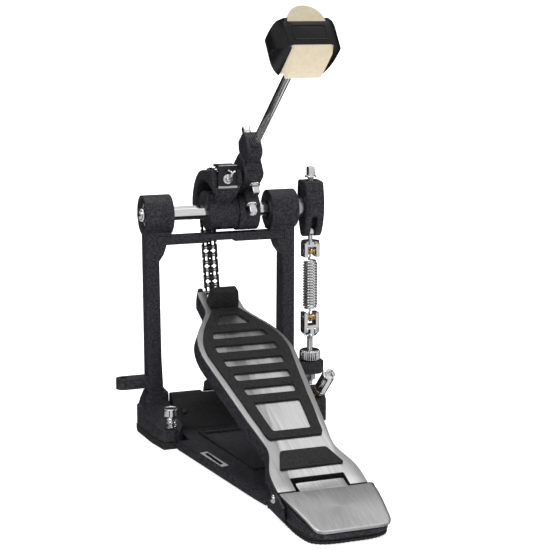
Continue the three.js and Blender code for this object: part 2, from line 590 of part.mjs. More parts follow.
const coilTurns = 20;
const coilRadius = 5.35;
const wire = 0.8;
const coilPoints = [];
for (const a of [200, 250, 300, 350]) {
  coilPoints.push(new THREE.Vector3(0, 3.6 * Math.cos(rad(a)), lowerRollerZ + 3.6 * Math.sin(rad(a))));
}
coilPoints.push(new THREE.Vector3(1.2, 3.4, lowerRollerZ + 4));
for (let i = 0; i <= coilTurns * 12; i += 1) {
  const angle = (2 * Math.PI * i) / 12 + Math.PI / 2;
  const z = 89.8 + (41 * i) / (coilTurns * 12);
  coilPoints.push(new THREE.Vector3(coilRadius * Math.cos(angle), coilRadius * Math.sin(angle), z));
}
coilPoints.push(new THREE.Vector3(1.2, 3.6, upperRollerZ - 4.8));
for (const a of [10, 60, 110, 160]) {
  coilPoints.push(new THREE.Vector3(0, 3.6 * Math.cos(rad(a)), upperRollerZ - 1 + 3.6 * Math.sin(rad(a))));
}
const coilPath = new THREE.CatmullRomCurve3(coilPoints, false, "centripetal");
const wireRing = new THREE.Shape(ring(wire, 4).map(([a, b]) => new THREE.Vector2(a, b)));
const coil = new THREE.ExtrudeGeometry(wireRing, { steps: 200, extrudePath: coilPath, bevelEnabled: false });
coil.translate(ROCKER_X, 0, 0);
add("spring", solid(coil), CHROME);

add("tension_rod", rod("z", 2.6, 24, 71.8, ROCKER_X, 0, 20), STEEL);
const knurls = [];
for (let i = 0; i < 15; i += 1) {
  const angle = (2 * Math.PI * i) / 15;
  knurls.push(rod("z", 0.8, 45, 56, ROCKER_X + 9.1 * Math.cos(angle), 9.1 * Math.sin(angle), 5));
}
add("knurled_nut", cut(turned([
  [0, 45.6], [8.2, 45.6], [8.9, 46.4], [8.9, 53.2], [8, 54.3], [0, 54.3],
], ROCKER_X, 0, 0, 30), [...knurls, rod("z", 2.75, 40, 60, ROCKER_X, 0, 20)]), CHROME);
const rodHole = rod("z", 2.75, 20, 60, ROCKER_X, 0, 20);
add("lock_nut", rod("z", 5, 28.4, 33.8, ROCKER_X, 0, 6).subtract(rodHole), STEEL);
add("spring_bracket", cut(slab([
  [POST_OUTER + 0.2, -8], [86, -8], [90.6, -4], [90.6, 4], [86, 8], [POST_OUTER + 0.2, 8],
], 34, 45.4, 0.8), [rod("z", 2.75, 20, 60, ROCKER_X, 0, 20)]), CASTING);

// ---------- footboard ----------
const boardHalf = [
  [258, 15.6], [245, 16.4], [231, 16.4], [225, 17.6], [218, 21.4], [211, 25.1], [204, 29], [197, 32.3],
  [187, 35.4], [174, 37.3], [162, 37.4], [150, 36.2], [134, 34.3], [118, 32.7], [92, 30], [74, 28.1],
  [58, 25.9], [50, 24.9], [43, 24.7], [37, 25.8], [30, 28.2], [23, 30.6], [17, 32], [8, 32.7], [-2.4, 32.7],
];
const boardCurve = smooth(boardHalf, 34);
const boardOutline = bothSides(boardCurve);
const insetOutline = (shrink, from, to) => bothSides(
  boardCurve.filter(([v]) => v <= from && v >= to).map(([v, half]) => [v, half - shrink]));
const heelSlot = box(-19.6, 19.6, -6, 10.9, -20, 10);
const underside = slab(insetOutline(3, 240, 22), -BOARD_THICK - 2, -4.5);
const casting = cut(slab(boardOutline, -BOARD_THICK, -1.9), [underside, heelSlot]);
const hingeBore = rod("x", 2.05, -50, 50, HINGE_Y, HINGE_Z, 20);
const castingPlaced = onBoard(casting)
  .add(rod("x", 5, -32.6, -20.2, HINGE_Y, HINGE_Z - 0.6, 28))
  .add(rod("x", 5, 20.2, 32.6, HINGE_Y, HINGE_Z - 0.6, 28))
  .subtract(hingeBore)
  .subtract(onBoard(box(-60, 60, -30, 60, -1.85, 20)));
const toeEars = [-1, 1].map((s) => {
  const ear = side([
    [8, 92.5], [13, 101.5], [anchorY - 1.6, anchorZ + 3.9], [anchorY + 1.6, anchorZ + 3.9],
    [anchorY + 4.4, anchorZ + 1], [anchorY + 3.4, anchorZ - 4.6], [12, 90.5],
  ], 8.6, 11.6);
  return cut(ear, [rod("x", 2.7, 5, 15, anchorY, anchorZ, 20)]);
}).map((ear, i) => (i === 0 ? mirror(ear) : ear));
const toePocket = box(-8.4, 8.4, 247, 270, -20, 5);
add("footboard", union([castingPlaced.subtract(onBoard(toePocket)), ...toeEars]), CASTING);
const plateCuts = [heelSlot, toePocket, box(-40, 40, -9, -2.2, -20, 5)];
add("footboard_plate", onBoard(cut(slab(boardOutline, -1.8, 0), plateCuts)), ALUMINIUM);

const gripHalf = smooth([
  [229, 10.6], [216.5, 17.3], [203.5, 24.5], [192, 29.2], [180, 32.4], [167, 33.4], [155, 32.3], [144, 31],
  [131, 29.3], [118, 27.9], [103, 26.2], [84, 24.4], [67.7, 22.3], [57, 21], [54, 19.2],
], 28);
const windowRows = [
  [219.6, 204.6, 7.6, 14.5], [194.5, 184.8, 20.5, 23.1], [175.2, 165.5, 25, 25.1], [155.7, 145.9, 24.1, 23.3],
  [136.4, 126.5, 22.1, 21.4], [117.4, 107.6, 20.1, 19.3], [98, 62.3, 18, 14.7],
];
function rounded(corners, radius) {
  const out = [];
  corners.forEach((corner, i) => {
    const before = corners[(i + corners.length - 1) % corners.length];
    const after = corners[(i + 1) % corners.length];
    const c = new THREE.Vector2(...corner);
    const a = new THREE.Vector2(...before).sub(c).setLength(radius).add(c);
    const b = new THREE.Vector2(...after).sub(c).setLength(radius).add(c);
    for (let k = 0; k <= 2; k += 1) {
      const t = k / 2;
      out.push([
        (1 - t) ** 2 * a.x + 2 * t * (1 - t) * c.x + t ** 2 * b.x,
        (1 - t) ** 2 * a.y + 2 * t * (1 - t) * c.y + t ** 2 * b.y,
      ]);
    }
  });
  return out;
}
const windows = windowRows.map(([top, bottom, halfTop, halfBottom]) => {
  const corners = [[-halfTop, top], [-halfBottom, bottom], [halfBottom, bottom], [halfTop, top]];
  return slab(rounded(corners, 2), -1, PAD_THICK + 1);
});
add("grip_pad", onBoard(cut(slab(bothSides(gripHalf), 0.08, PAD_THICK), windows)), PAD);
add("lower_grip_pad", onBoard(slab(
  rounded([[-17.2, 39.6], [-23.8, 20], [23.8, 20], [17.2, 39.6]], 2), 0.08, PAD_THICK)), PAD);
const toeStopSide = side([
  [230.8, 0.08], [243, 0.08], [240.6, 7], [238.8, 14.8], [237.6, 16.4], [233.4, 16.4], [232, 15],
], -12.2, 12.2, 0.6);
const toeStopFront = front([
  [-12.2, -1], [12.2, -1], [12, 6], [10.9, 14.4], [9, 16.6], [-9, 16.6], [-10.9, 14.4], [-12, 6],
], 225, 250);
add("toe_stop", onBoard(toeStopSide.intersect(toeStopFront)), RUBBER);

// ---------- heel ----------
const heelPlan = slab(bothSides([
  [-206.6, 32], [-250, 32], [-262, 31], [-272, 29], [-280, 26.5], [-285, 23], [-287.4, 16],
].reverse()), RUBBER_TOP + 0.1, 24);
const heelProfile = side([
  [-206, 5], [-206, 8], [-238.4, 8], [-238.6, 17], [-286, 8.6], [-292, 7.6], [-292, 5],
], -40, 40);
const ears = [-1, 1].map((s) => {
  const top = s < 0
    ? [[-223, 13], [-227.6, 18.6], [-232, 19.9], [-236, 19.2], [-249, 14.8]]
    : [[-223, 12.4], [-227.6, 17], [-231.5, 19.1], [-234.4, 18.7], [-235.8, 17.5], [-240, 16.6], [-249, 14.6]];
  const ear = side([[-221, RUBBER_TOP + 0.1], ...top, [-249, RUBBER_TOP + 0.1]], 33.1, 35.7, 0.5);
  const foot = box(30, 34, -248, -222, RUBBER_TOP + 0.1, 7.8);
  return s > 0 ? ear.add(foot) : mirror(ear.add(foot));
});
const hingeSeat = rod("x", 2.05, -50, 50, HINGE_Y, HINGE_Z, 20);
add("heel_base", cut(union([heelPlan.intersect(heelProfile), ...ears]), [hingeSeat]), CASTING);

const heelSlope = 9.9;
const heelOutline = bothSides(smooth([
  [0, 32.6], [-10, 31.8], [-23, 30], [-36, 28], [-46, 26.4], [-50, 24.6], [-52, 21.4], [-52.6, 16],
].reverse(), 24)).map(([x, v]) => (x > 0 ? [x + 2.6 + (1.2 * v) / 52.6, v] : [x, v]));
const heelSheet = slab(heelOutline, -1.8, 0).rotate([heelSlope, 0, 0]).translate([0, -235.4, 19.9]);
const tongue = box(-17.6, 17.6, -5.4, 7.6, -1.9, -0.1).rotate([BOARD_PITCH, 0, 0])
  .translate([0, BOARD_ORIGIN_Y, BOARD_ORIGIN_Z]);
const tongueRoot = box(-17.6, 17.6, -237.6, -234.2, 17.9, 19.3);
add("heel_plate", union([heelSheet, tongue, tongueRoot]), ALUMINIUM);
add("heel_pad", slab(bothSides([
  [-206.6, 31.3], [-255, 31.3], [-268, 30], [-277, 27.4], [-282, 21], [-284, 12],
].reverse()), 0, RUBBER_TOP, 0.5), RUBBER);
const hingeRod = union([
  rod("x", 1.9, -35.9, 35.9, HINGE_Y, HINGE_Z, 20),
  rod("x", 3.4, 35.8, 37.4, HINGE_Y, HINGE_Z, 24),
  rod("x", 3.4, -37.4, -35.8, HINGE_Y, HINGE_Z, 24),
]);
add("hinge_pin", hingeRod, CHROME);

export default group;
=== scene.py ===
"""Bass drum pedal: the detailed visual model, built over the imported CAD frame.

Lengths inside the mesh code are millimetres and become metres in the mesh.
X runs to the player's right, Y towards the drum, Z up, as in the CAD.
"""
import json
import math

import bmesh
import bpy
from mathutils import Matrix, Vector

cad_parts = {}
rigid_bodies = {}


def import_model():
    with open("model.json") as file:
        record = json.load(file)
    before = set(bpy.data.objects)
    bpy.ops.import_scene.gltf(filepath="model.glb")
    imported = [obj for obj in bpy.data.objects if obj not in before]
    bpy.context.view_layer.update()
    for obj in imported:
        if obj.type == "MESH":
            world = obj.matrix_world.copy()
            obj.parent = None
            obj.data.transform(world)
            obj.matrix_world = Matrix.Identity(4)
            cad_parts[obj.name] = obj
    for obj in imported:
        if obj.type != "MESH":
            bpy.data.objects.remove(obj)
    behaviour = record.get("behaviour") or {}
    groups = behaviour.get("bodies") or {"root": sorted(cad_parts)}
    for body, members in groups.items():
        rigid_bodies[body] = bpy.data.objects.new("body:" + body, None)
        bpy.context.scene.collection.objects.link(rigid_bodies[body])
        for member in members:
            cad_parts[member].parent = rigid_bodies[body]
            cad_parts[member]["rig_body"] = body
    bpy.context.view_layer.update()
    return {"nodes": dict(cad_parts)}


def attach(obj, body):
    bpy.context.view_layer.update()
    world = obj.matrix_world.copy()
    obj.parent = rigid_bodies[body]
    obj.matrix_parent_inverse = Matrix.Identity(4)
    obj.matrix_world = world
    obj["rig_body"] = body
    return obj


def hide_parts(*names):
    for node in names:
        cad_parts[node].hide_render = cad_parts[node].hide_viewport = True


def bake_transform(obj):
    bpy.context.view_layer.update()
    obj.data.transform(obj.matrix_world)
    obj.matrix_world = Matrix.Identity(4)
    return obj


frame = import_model()

MM = 0.001
TAU = 2 * math.pi

# Places taken from the CAD, in millimetres and degrees.
AXLE_HEIGHT = 176.0
BEATER_LEAN = 52.9
BEATER_X = 22.0
SHAFT_OFFSET = 29.0
BOARD_PITCH = 19.7
BOARD_ORIGIN = (0.0, -230.4, 20.6)
KNOB_ORIGIN = (71.2, -42.0, 28.7)
KNOB_TILT = 42.7
ROCKER_X = 79.5
UPPER_ROLLER_Z = 138.4
LOWER_ROLLER_Z = 82.6
SPUR_X = 57.2
SPUR_Y = -53.3
CLAMP_X = 6.0
CLAMP_Y = 4.0
HEAD_TOP = 203.5
ROCKER_PIN_DROP = 20.0
HEEL_HINGE = (0.0, -232.0, 15.8)
JAW_HINGE = (0.0, -9.2, 27.4)
HEEL_TOP = (0.0, -235.4, 19.9)
HEEL_SLOPE = 9.9

# Bolt seats: the first three in the beater's own frame, the other two from the axle's centre.
BEATER_BOLT = (BEATER_X, 43.8, 43.0)
HUB_BOLT_LOWER = (22.4, -4.5, 16.6)
HUB_BOLT_UPPER = (24.7, 8.3, 26.3)
CHAIN_BOLT = (0.0, -26.0, 29.0)
ROCKER_BOLT = (ROCKER_X, 0.0, 24.6)

# Chain: its pitch line on the cam, its lean from upright and the free length down to the toe.
CHAIN_RADIUS = 33.4
CHAIN_PITCH = 6.35
CHAIN_TILT = math.radians(10.8)
CHAIN_HANG = 66.15
CHAIN_PINS = 22
LAST_FREE_PIN = 13

# Edges sharper than this, in degrees, are rounded; softer ones than the other are shaded smooth.
ROUND_ABOVE = 32
SMOOTH_BELOW = 35


def place(x, y, z):
    return Matrix.Translation((x * MM, y * MM, z * MM))


def spin(degrees, axis):
    return Matrix.Rotation(math.radians(degrees), 4, axis)


ON_AXLE = place(0, 0, AXLE_HEIGHT)
ON_BEATER = ON_AXLE @ spin(BEATER_LEAN, "X")
ON_BOARD = place(*BOARD_ORIGIN) @ spin(BOARD_PITCH, "X")
ON_KNOB = place(*KNOB_ORIGIN) @ spin(90 - KNOB_TILT, "X")
ON_HEEL = place(*HEEL_TOP) @ spin(HEEL_SLOPE, "X")
ALONG_X = spin(90, "Y")


# ---------- materials ----------
def principled(name, colour, roughness, metallic=0.0):
    material = bpy.data.materials.new(name)
    material.use_nodes = True
    shader = material.node_tree.nodes["Principled BSDF"]
    shader.inputs["Base Color"].default_value = (*colour, 1)
    shader.inputs["Roughness"].default_value = roughness
    shader.inputs["Metallic"].default_value = metallic
    return material, material.node_tree, shader


def vary_roughness(tree, shader, value, low, high, smooth, rough):
    """Roughness runs from smooth to rough as value goes from low to high."""
    tree.links.new(remap(tree, value, low, high, smooth, rough), shader.inputs["Roughness"])


def noise(tree, scale, stretch=(1, 1, 1), turn=(0, 0, 0), detail=3.0, rough=0.55):
    """Noise over the object's own coordinates, which are the CAD frame at rest."""
    coords = tree.nodes.new("ShaderNodeTexCoord")
    mapping = tree.nodes.new("ShaderNodeMapping")
    mapping.vector_type = "TEXTURE"
    mapping.inputs["Rotation"].default_value = turn
    mapping.inputs["Scale"].default_value = [1 / s for s in stretch]
    field = tree.nodes.new("ShaderNodeTexNoise")
    field.inputs["Scale"].default_value = scale
    field.inputs["Detail"].default_value = detail
    field.inputs["Roughness"].default_value = rough
    tree.links.new(coords.outputs["Object"], mapping.inputs["Vector"])
    tree.links.new(mapping.outputs["Vector"], field.inputs["Vector"])
    return field.outputs["Fac"]


def remap(tree, value, low, high, out_low, out_high):
    node = tree.nodes.new("ShaderNodeMapRange")
    node.inputs["From Min"].default_value = low
    node.inputs["From Max"].default_value = high
    node.inputs["To Min"].default_value = out_low
    node.inputs["To Max"].default_value = out_high
    tree.links.new(value, node.inputs["Value"])
    return node.outputs["Result"]


def tint(tree, shader, value, low, high, dark, light):
    """Base colour runs from dark to light as value goes from low to high."""
    ramp = tree.nodes.new("ShaderNodeValToRGB")
    ramp.color_ramp.elements[0].position = low
    ramp.color_ramp.elements[0].color = (*dark, 1)
    ramp.color_ramp.elements[1].position = high
    ramp.color_ramp.elements[1].color = (*light, 1)
    tree.links.new(value, ramp.inputs["Fac"])
    tree.links.new(ramp.outputs["Color"], shader.inputs["Base Color"])


def bumps(tree, shader, layers):
    """Stacked bump layers of (height, strength, depth in millimetres)."""
    previous = None
    for height, strength, depth in layers:
        node = tree.nodes.new("ShaderNodeBump")
        node.inputs["Strength"].default_value = strength
        node.inputs["Distance"].default_value = depth * MM
        tree.links.new(height, node.inputs["Height"])
        if previous is not None:
            tree.links.new(previous, node.inputs["Normal"])
        previous = node.outputs["Normal"]
    tree.links.new(previous, shader.inputs["Normal"])


def grey(level, warm=0.0, cool=0.0):
    return (level + warm, level, level + cool)


def powder_coat(name, level, roughness, grain):
    """Baked powder paint: fine orange-peel grain, its pits painted darker as shade and its peaks painted
    lighter and bluer as a highlight.
    """
    material, tree, shader = principled(name, grey(level), roughness)
    fine = noise(tree, 620, detail=3.0, rough=0.62)
    coarse = noise(tree, 260, detail=2.0)
    blotch = noise(tree, 30, detail=3.0)
    # Painted shade in the grain's pits and a painted blue-grey highlight on its peaks, following the bump's
    # own noise.
    pit_painted_shade = grey(level * 0.22, 0, level * 0.05)
    peak_painted_highlight = grey(level * 2.6, level * 0.08, level * 0.8)
    tint(tree, shader, fine, 0.38, 0.66, pit_painted_shade, peak_painted_highlight)
    vary_roughness(tree, shader, blotch, 0.3, 0.7, roughness - 0.05, roughness + 0.07)
    bumps(tree, shader, [(coarse, 0.3, grain * 2), (fine, 0.6, grain)])
    shader.inputs["Specular IOR Level"].default_value = 0.36
    return material


def polished(name, colour, roughness, smear):
    """Plated or polished metal with faint handling smears and hairline marks."""
    material, tree, shader = principled(name, colour, roughness, 1.0)
    haze = noise(tree, 90, detail=4.0)
    hairs = noise(tree, 900, stretch=(1, 1, 0.06), detail=2.0)
    vary_roughness(tree, shader, haze, 0.3, 0.75, roughness, roughness + smear)
    dull = tuple(c * 0.86 for c in colour)
    tint(tree, shader, haze, 0.25, 0.7, dull, colour)
    bumps(tree, shader, [(hairs, 0.05, 0.02)])
    return material


def turned_steel(name, colour, roughness, axis):
    """Bright drawn steel with fine lines along one axis."""
    material, tree, shader = principled(name, colour, roughness, 1.0)
    stretch = [1, 1, 1]
    stretch[axis] = 0.03
    lines = noise(tree, 1800, stretch=stretch, detail=2.0)
    haze = noise(tree, 60, detail=3.0)
    vary_roughness(tree, shader, haze, 0.3, 0.7, roughness - 0.05, roughness + 0.08)
    dull = tuple(c * 0.78 for c in colour)
    tint(tree, shader, lines, 0.3, 0.7, dull, colour)
    bumps(tree, shader, [(lines, 0.16, 0.03)])
    return material


def brushed(name, level, turn_x):
    """Aluminium brushed along its length, in a plane tilted about X."""
    material, tree, shader = principled(name, grey(level), 0.36, 1.0)
    turn = (math.radians(turn_x), 0, 0)
    hair = noise(tree, 1700, stretch=(1, 0.014, 1), turn=turn, detail=2.0, rough=0.5)
    streak = noise(tree, 520, stretch=(1, 0.01, 1), turn=turn, detail=2.0)
    cloud = noise(tree, 26, detail=2.0)
    tint(tree, shader, hair, 0.3, 0.72, grey(level * 0.84), grey(level * 1.14, 0, 0.004))
    vary_roughness(tree, shader, streak, 0.3, 0.7, 0.3, 0.44)
    bumps(tree, shader, [(cloud, 0.03, 0.3), (streak, 0.05, 0.03), (hair, 0.12, 0.02)])
    shader.inputs["Anisotropic"].default_value = 0.4
    return material


def rubbery(name, level, roughness, scale, depth):
    """Moulded rubber: fine pebbled grain, a little dust in the hollows."""
    material, tree, shader = principled(name, grey(level), roughness)
    grain = noise(tree, scale, detail=3.0, rough=0.7)
    dust = noise(tree, 55, detail=4.0)
    tint(tree, shader, grain, 0.35, 0.7, grey(level * 0.45), grey(level * 1.9, 0, level * 0.15))
    vary_roughness(tree, shader, dust, 0.3, 0.7, roughness - 0.06, roughness + 0.08)
    bumps(tree, shader, [(grain, 0.6, depth)])
    shader.inputs["Specular IOR Level"].default_value = 0.32
    return material


def gloss_plastic(name):
    """Moulded black plastic: low waviness, fine scuffs."""
    material, tree, shader = principled(name, grey(0.005), 0.16)
    wave = noise(tree, 70, detail=1.0)
    scuff = noise(tree, 1100, detail=4.0, rough=0.7)
    tint(tree, shader, scuff, 0.45, 0.8, grey(0.005, 0, 0.0005), grey(0.013, 0, 0.002))
    vary_roughness(tree, shader, scuff, 0.35, 0.7, 0.12, 0.24)
    bumps(tree, shader, [(wave, 0.12, 0.5), (scuff, 0.06, 0.06)])
    shader.inputs["Specular IOR Level"].default_value = 0.26
    return material


def wool_felt(name):
    """Pressed wool felt: matted fibres with soft warm mottling."""
    material, tree, shader = principled(name, (0.62, 0.53, 0.38), 0.95)
    fibres = noise(tree, 1000, stretch=(1, 1, 0.35), detail=6.0, rough=0.75)
    crossing = noise(tree, 800, stretch=(0.35, 1, 1), detail=6.0, rough=0.75)
    mottle = noise(tree, 330, stretch=(1, 1, 0.5), detail=5.0, rough=0.7)
    tint(tree, shader, mottle, 0.3, 0.72, (0.54, 0.465, 0.325), (0.64, 0.555, 0.405))
    vary_roughness(tree, shader, fibres, 0.3, 0.7, 0.88, 1.0)
    bumps(tree, shader, [(mottle, 0.3, 0.35), (crossing, 0.4, 0.22), (fibres, 0.5, 0.22)])
    shader.inputs["Sheen Weight"].default_value = 0.25
    shader.inputs["Sheen Roughness"].default_value = 0.6
    shader.inputs["Specular IOR Level"].default_value = 0.2
    return material


FINISH = {
    "casting": powder_coat("powder_coated_casting", 0.014, 0.5, 0.12),
    "plate_black": powder_coat("powder_coated_plate", 0.013, 0.5, 0.1),
    "chrome": polished("chrome_plate", (0.8, 0.8, 0.81), 0.05, 0.08),
    "steel": turned_steel("drawn_steel", (0.6, 0.6, 0.61), 0.26, 2),
    "aluminium": brushed("brushed_aluminium", 0.46, BOARD_PITCH),
    "black_steel": polished("blackened_steel", (0.045, 0.045, 0.05), 0.22, 0.14),
    "brass": polished("brass", (0.78, 0.48, 0.17), 0.16, 0.14),
    "grip": rubbery("grip_rubber", 0.016, 0.72, 650, 0.16),
    "rubber": rubbery("foot_rubber", 0.012, 0.62, 600, 0.1),
    "head_plastic": gloss_plastic("gloss_black_plastic"),
    "felt": wool_felt("wool_felt"),
}
AXLE_STEEL = turned_steel("polished_axle_steel", (0.93, 0.93, 0.94), 0.11, 0)
HEEL_ALUMINIUM = brushed("brushed_heel_aluminium", 0.55, HEEL_SLOPE)
BADGE_FOIL = brushed("badge_foil", 0.62, 0)
BADGE_FOIL.node_tree.nodes["Principled BSDF"].inputs["Metallic"].default_value = 0.3
# A darker copy of the casting's powder coat: painted shade for the bridge, which sits in shadow.
BRIDGE_PAINTED_SHADE = powder_coat("bridge_painted_shade", 0.004, 0.62, 0.12)
BEARING_SHIELD = powder_coat("bearing_shield", 0.012, 0.38, 0.02)


# ---------- mesh helpers ----------
def mesh_object(name, verts, faces, matrix=Matrix.Identity(4), smooth_angle=SMOOTH_BELOW):
    """A new object from points in millimetres, placed by matrix, with soft shading below smooth_angle."""
    mesh = bpy.data.meshes.new(name)
    mesh.from_pydata([(x * MM, y * MM, z * MM) for x, y, z in verts], [], faces)
    mesh.transform(matrix)
    mesh.update()
    piece = bpy.data.objects.new(name, mesh)
    bpy.context.scene.collection.objects.link(piece)
    shade(piece, smooth_angle)
    return piece


def shade(piece, smooth_angle):
    for polygon in piece.data.polygons:
        polygon.use_smooth = True
    limit = math.radians(smooth_angle)
    sculpt = bmesh.new()
    sculpt.from_mesh(piece.data)
    for edge in sculpt.edges:
        edge.smooth = len(edge.link_faces) == 2 and edge.calc_face_angle(math.pi) < limit
    sculpt.to_mesh(piece.data)
    sculpt.free()


def soften(points, radius, steps=3):
    """Rounds the inner corners of an open line of 2-D points."""
    line = [Vector(p) for p in points]
    out = [line[0]]
    for before, corner, after in zip(line, line[1:], line[2:]):
        back, ahead = before - corner, after - corner
        start = corner + back.normalized() * min(radius, back.length * 0.45)
        stop = corner + ahead.normalized() * min(radius, ahead.length * 0.45)
        for i in range(steps + 1):
            t = i / steps
            out.append(start * (1 - t) ** 2 + corner * (2 * t * (1 - t)) + stop * t * t)
    out.append(line[-1])
    return [(p.x, p.y) for p in out]


def lathe(profile, steps=64, shape=None, ring=False):
    """Points and faces turned about Z from (radius, height) pairs.

    shape(angle, radius, height) may change a radius, and ring joins the last row to the first.
    """
    verts, faces = [], []
    for radius, height in profile:
        for i in range(steps):
            angle = TAU * i / steps
            r = shape(angle, radius, height) if shape else radius
            verts.append((r * math.cos(angle), r * math.sin(angle), height))
    rows = len(profile)
    for j in range(rows if ring else rows - 1):
        low = j * steps
        high = ((j + 1) % rows) * steps
        for i in range(steps):
            k = (i + 1) % steps
            faces.append((low + i, low + k, high + k, high + i))
    if not ring:
        faces.append(tuple(reversed(range(steps))))
        faces.append(tuple(range((rows - 1) * steps, rows * steps)))
    return verts, faces


def climb(radius, low, high, spacing):
    """Profile points up a plain cylinder, close enough together to carry a thread."""
    count = max(1, round((high - low) / spacing))
    return [(radius, low + (high - low) * i / count) for i in range(count + 1)]


def thread(low, high, pitch, depth):
    """A V thread between two heights, fading out at both ends."""
    def shape(angle, radius, height):
        fade = min(1.0, max(0.0, (height - low) / pitch), max(0.0, (high - height) / pitch))
        wave = abs(2 * ((height / pitch - angle / TAU) % 1) - 1)
        return radius - depth * wave * fade
    return shape


def squared(power, low, high):
    """Between two heights the section is a square; a higher power gives sharper corners."""
    def shape(angle, radius, height):
        if height < low or height > high:
            return radius
        c, s = abs(math.cos(angle)), abs(math.sin(angle))
        return radius / (c ** power + s ** power) ** (1 / power)
    return shape


def fluted(count, depth, low, high, sharp=2.0):
    """Straight flutes cut along a turned piece between two heights."""
    def shape(angle, radius, height):
        if height < low or height > high:
            return radius
        return radius - depth * (0.5 + 0.5 * math.cos(count * angle)) ** sharp
    return shape


def sweep(path, radius, sides=10):
    """A round wire along a line of points in millimetres, closed at both ends."""
    points = [Vector(p) for p in path]
    verts, faces = [], []
    normal = None
    for i, point in enumerate(points):
        ahead = points[min(i + 1, len(points) - 1)] - points[max(i - 1, 0)]
        ahead.normalize()
        if normal is None:
            normal = ahead.orthogonal().normalized()
        normal = (normal - ahead * normal.dot(ahead)).normalized()
        other = ahead.cross(normal)
        for j in range(sides):
            angle = TAU * j / sides
            offset = normal * (radius * math.cos(angle)) + other * (radius * math.sin(angle))
            verts.append(tuple(point + offset))
    for i in range(len(points) - 1):
        for j in range(sides):
            k = (j + 1) % sides
            low, high = i * sides, (i + 1) * sides
            faces.append((low + j, low + k, high + k, high + j))
    faces.append(tuple(reversed(range(sides))))
    faces.append(tuple(range((len(points) - 1) * sides, len(points) * sides)))
    return verts, faces


def curve_through(knots, per_span=6):
    """Catmull-Rom line through knots, in any number of dimensions."""
    pts = [Vector(k) for k in knots]
    pts = [pts[0] * 2 - pts[1]] + pts + [pts[-1] * 2 - pts[-2]]
    out = []
    for a, b, c, d in zip(pts, pts[1:], pts[2:], pts[3:]):
        for i in range(per_span):
            t = i / per_span
            out.append(0.5 * (b * 2 + (c - a) * t + (a * 2 - b * 5 + c * 4 - d) * t * t
                              + (b * 3 - a - c * 3 + d) * t ** 3))
    out.append(pts[-2])
    return out


def merge(parts):
    verts, faces = [], []
    for part_verts, part_faces in parts:
        base = len(verts)
        verts += part_verts
        faces += [tuple(i + base for i in face) for face in part_faces]
    return verts, faces


def moved(part, matrix):
    """The part's points, in millimetres, taken through a matrix whose translation is in metres."""
    verts, faces = part
    out = [matrix @ (Vector(v) * MM) / MM for v in verts]
    return [tuple(v) for v in out], faces


def finish_piece(piece, node, slot, material=None):
    """Gives a piece its material, by default the finish of its slot, and lets it ride the body of the CAD
    node that it stands for.
    """
    piece.data.materials.clear()
    piece.data.materials.append(material or FINISH[slot])
    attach(piece, frame["nodes"][node]["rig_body"])
    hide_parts(node)
    return piece


def build(name, part, node, slot, matrix=Matrix.Identity(4), smooth_angle=SMOOTH_BELOW, material=None):
    """A new piece that stands for a CAD node."""
    verts, faces = part
    piece = mesh_object(name, verts, faces, matrix, smooth_angle)
    return finish_piece(piece, node, slot, material)


def extra(name, part, body, slot, matrix=Matrix.Identity(4), smooth_angle=SMOOTH_BELOW, material=None):
    """A detail piece that stands for no CAD node of its own."""
    verts, faces = part
    piece = mesh_object(name, verts, faces, matrix, smooth_angle)
    piece.data.materials.append(material or FINISH[slot])
    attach(piece, body)
    return piece


def refine(node, slot, width, segments=3, material=None):
    """Copies a CAD solid, merges its facets and rounds its sharp edges by width millimetres."""
    mesh = frame["nodes"][node].data.copy()
    mesh.name = "fine_" + node
    clean = bmesh.new()
    clean.from_mesh(mesh)
    bmesh.ops.remove_doubles(clean, verts=clean.verts, dist=2e-5)
    bmesh.ops.dissolve_limit(
        clean, angle_limit=math.radians(1), verts=clean.verts, edges=clean.edges, delimit={"NORMAL"})
    clean.to_mesh(mesh)
    clean.free()
    piece = bpy.data.objects.new(mesh.name, mesh)
    bpy.context.scene.collection.objects.link(piece)
    bevel = piece.modifiers.new("rounded_edges", "BEVEL")
    bevel.width = width * MM
    bevel.segments = segments
    bevel.limit_method = "ANGLE"
    bevel.angle_limit = math.radians(ROUND_ABOVE)
    bevel.use_clamp_overlap = True
    bevel.miter_outer = "MITER_ARC"
    apply_modifiers(piece)
    shade(piece, SMOOTH_BELOW)
    return finish_piece(piece, node, slot, material=material)


def apply_modifiers(piece):
    """Keeps the modified mesh and drops the modifiers."""
    graph = bpy.context.evaluated_depsgraph_get()
    result = bpy.data.meshes.new_from_object(piece.evaluated_get(graph))
    piece.modifiers.clear()
    piece.data = result


# ---------- castings and plates ----------
for node, width in {
    "post_left": 0.8, "post_right": 0.8, "spring_bracket": 0.8, "clamp_jaw": 0.8,
    "beater_hub": 0.8, "spring_rocker": 0.9, "footboard": 0.5, "heel_base": 0.6, "chain_cam": 0.6,
}.items():
    refine(node, "casting", width)
# The bridge gets the darker coat as painted shade.
refine("base_bridge", "casting", 0.7, material=BRIDGE_PAINTED_SHADE)
for node, width in {
    "base_plate": 0.4, "cross_brace": 0.4, "bridge_screw_left": 0.2, "bridge_screw_right": 0.2,
}.items():
    refine(node, "plate_black", width)
for node, width in {"foot_pad": 0.6, "toe_stop": 0.7}.items():
    refine(node, "rubber", width)


def flare_footboard_flanks():
    """The casting's flanks lean outward a little towards their lower edge."""
    into_board = ON_BOARD.inverted()
    for vertex in bpy.data.objects["fine_footboard"].data.vertices:
        point = into_board @ vertex.co / MM
        if 20 < point.y < 250 and point.z < -3 and abs(point.x) > 12:
            point.x += math.copysign(min(1.8, (-3 - point.z) * 0.45), point.x)
            vertex.co = ON_BOARD @ (point * MM)


flare_footboard_flanks()
refine("footboard_plate", "aluminium", 0.35)
refine("grip_pad", "grip", 0.5)
refine("lower_grip_pad", "grip", 0.5)
refine("hex_axle", "chrome", 0.45, material=AXLE_STEEL)
refine("axle_spacer", "steel", 0.4)
refine("chain_plate", "black_steel", 0.35)


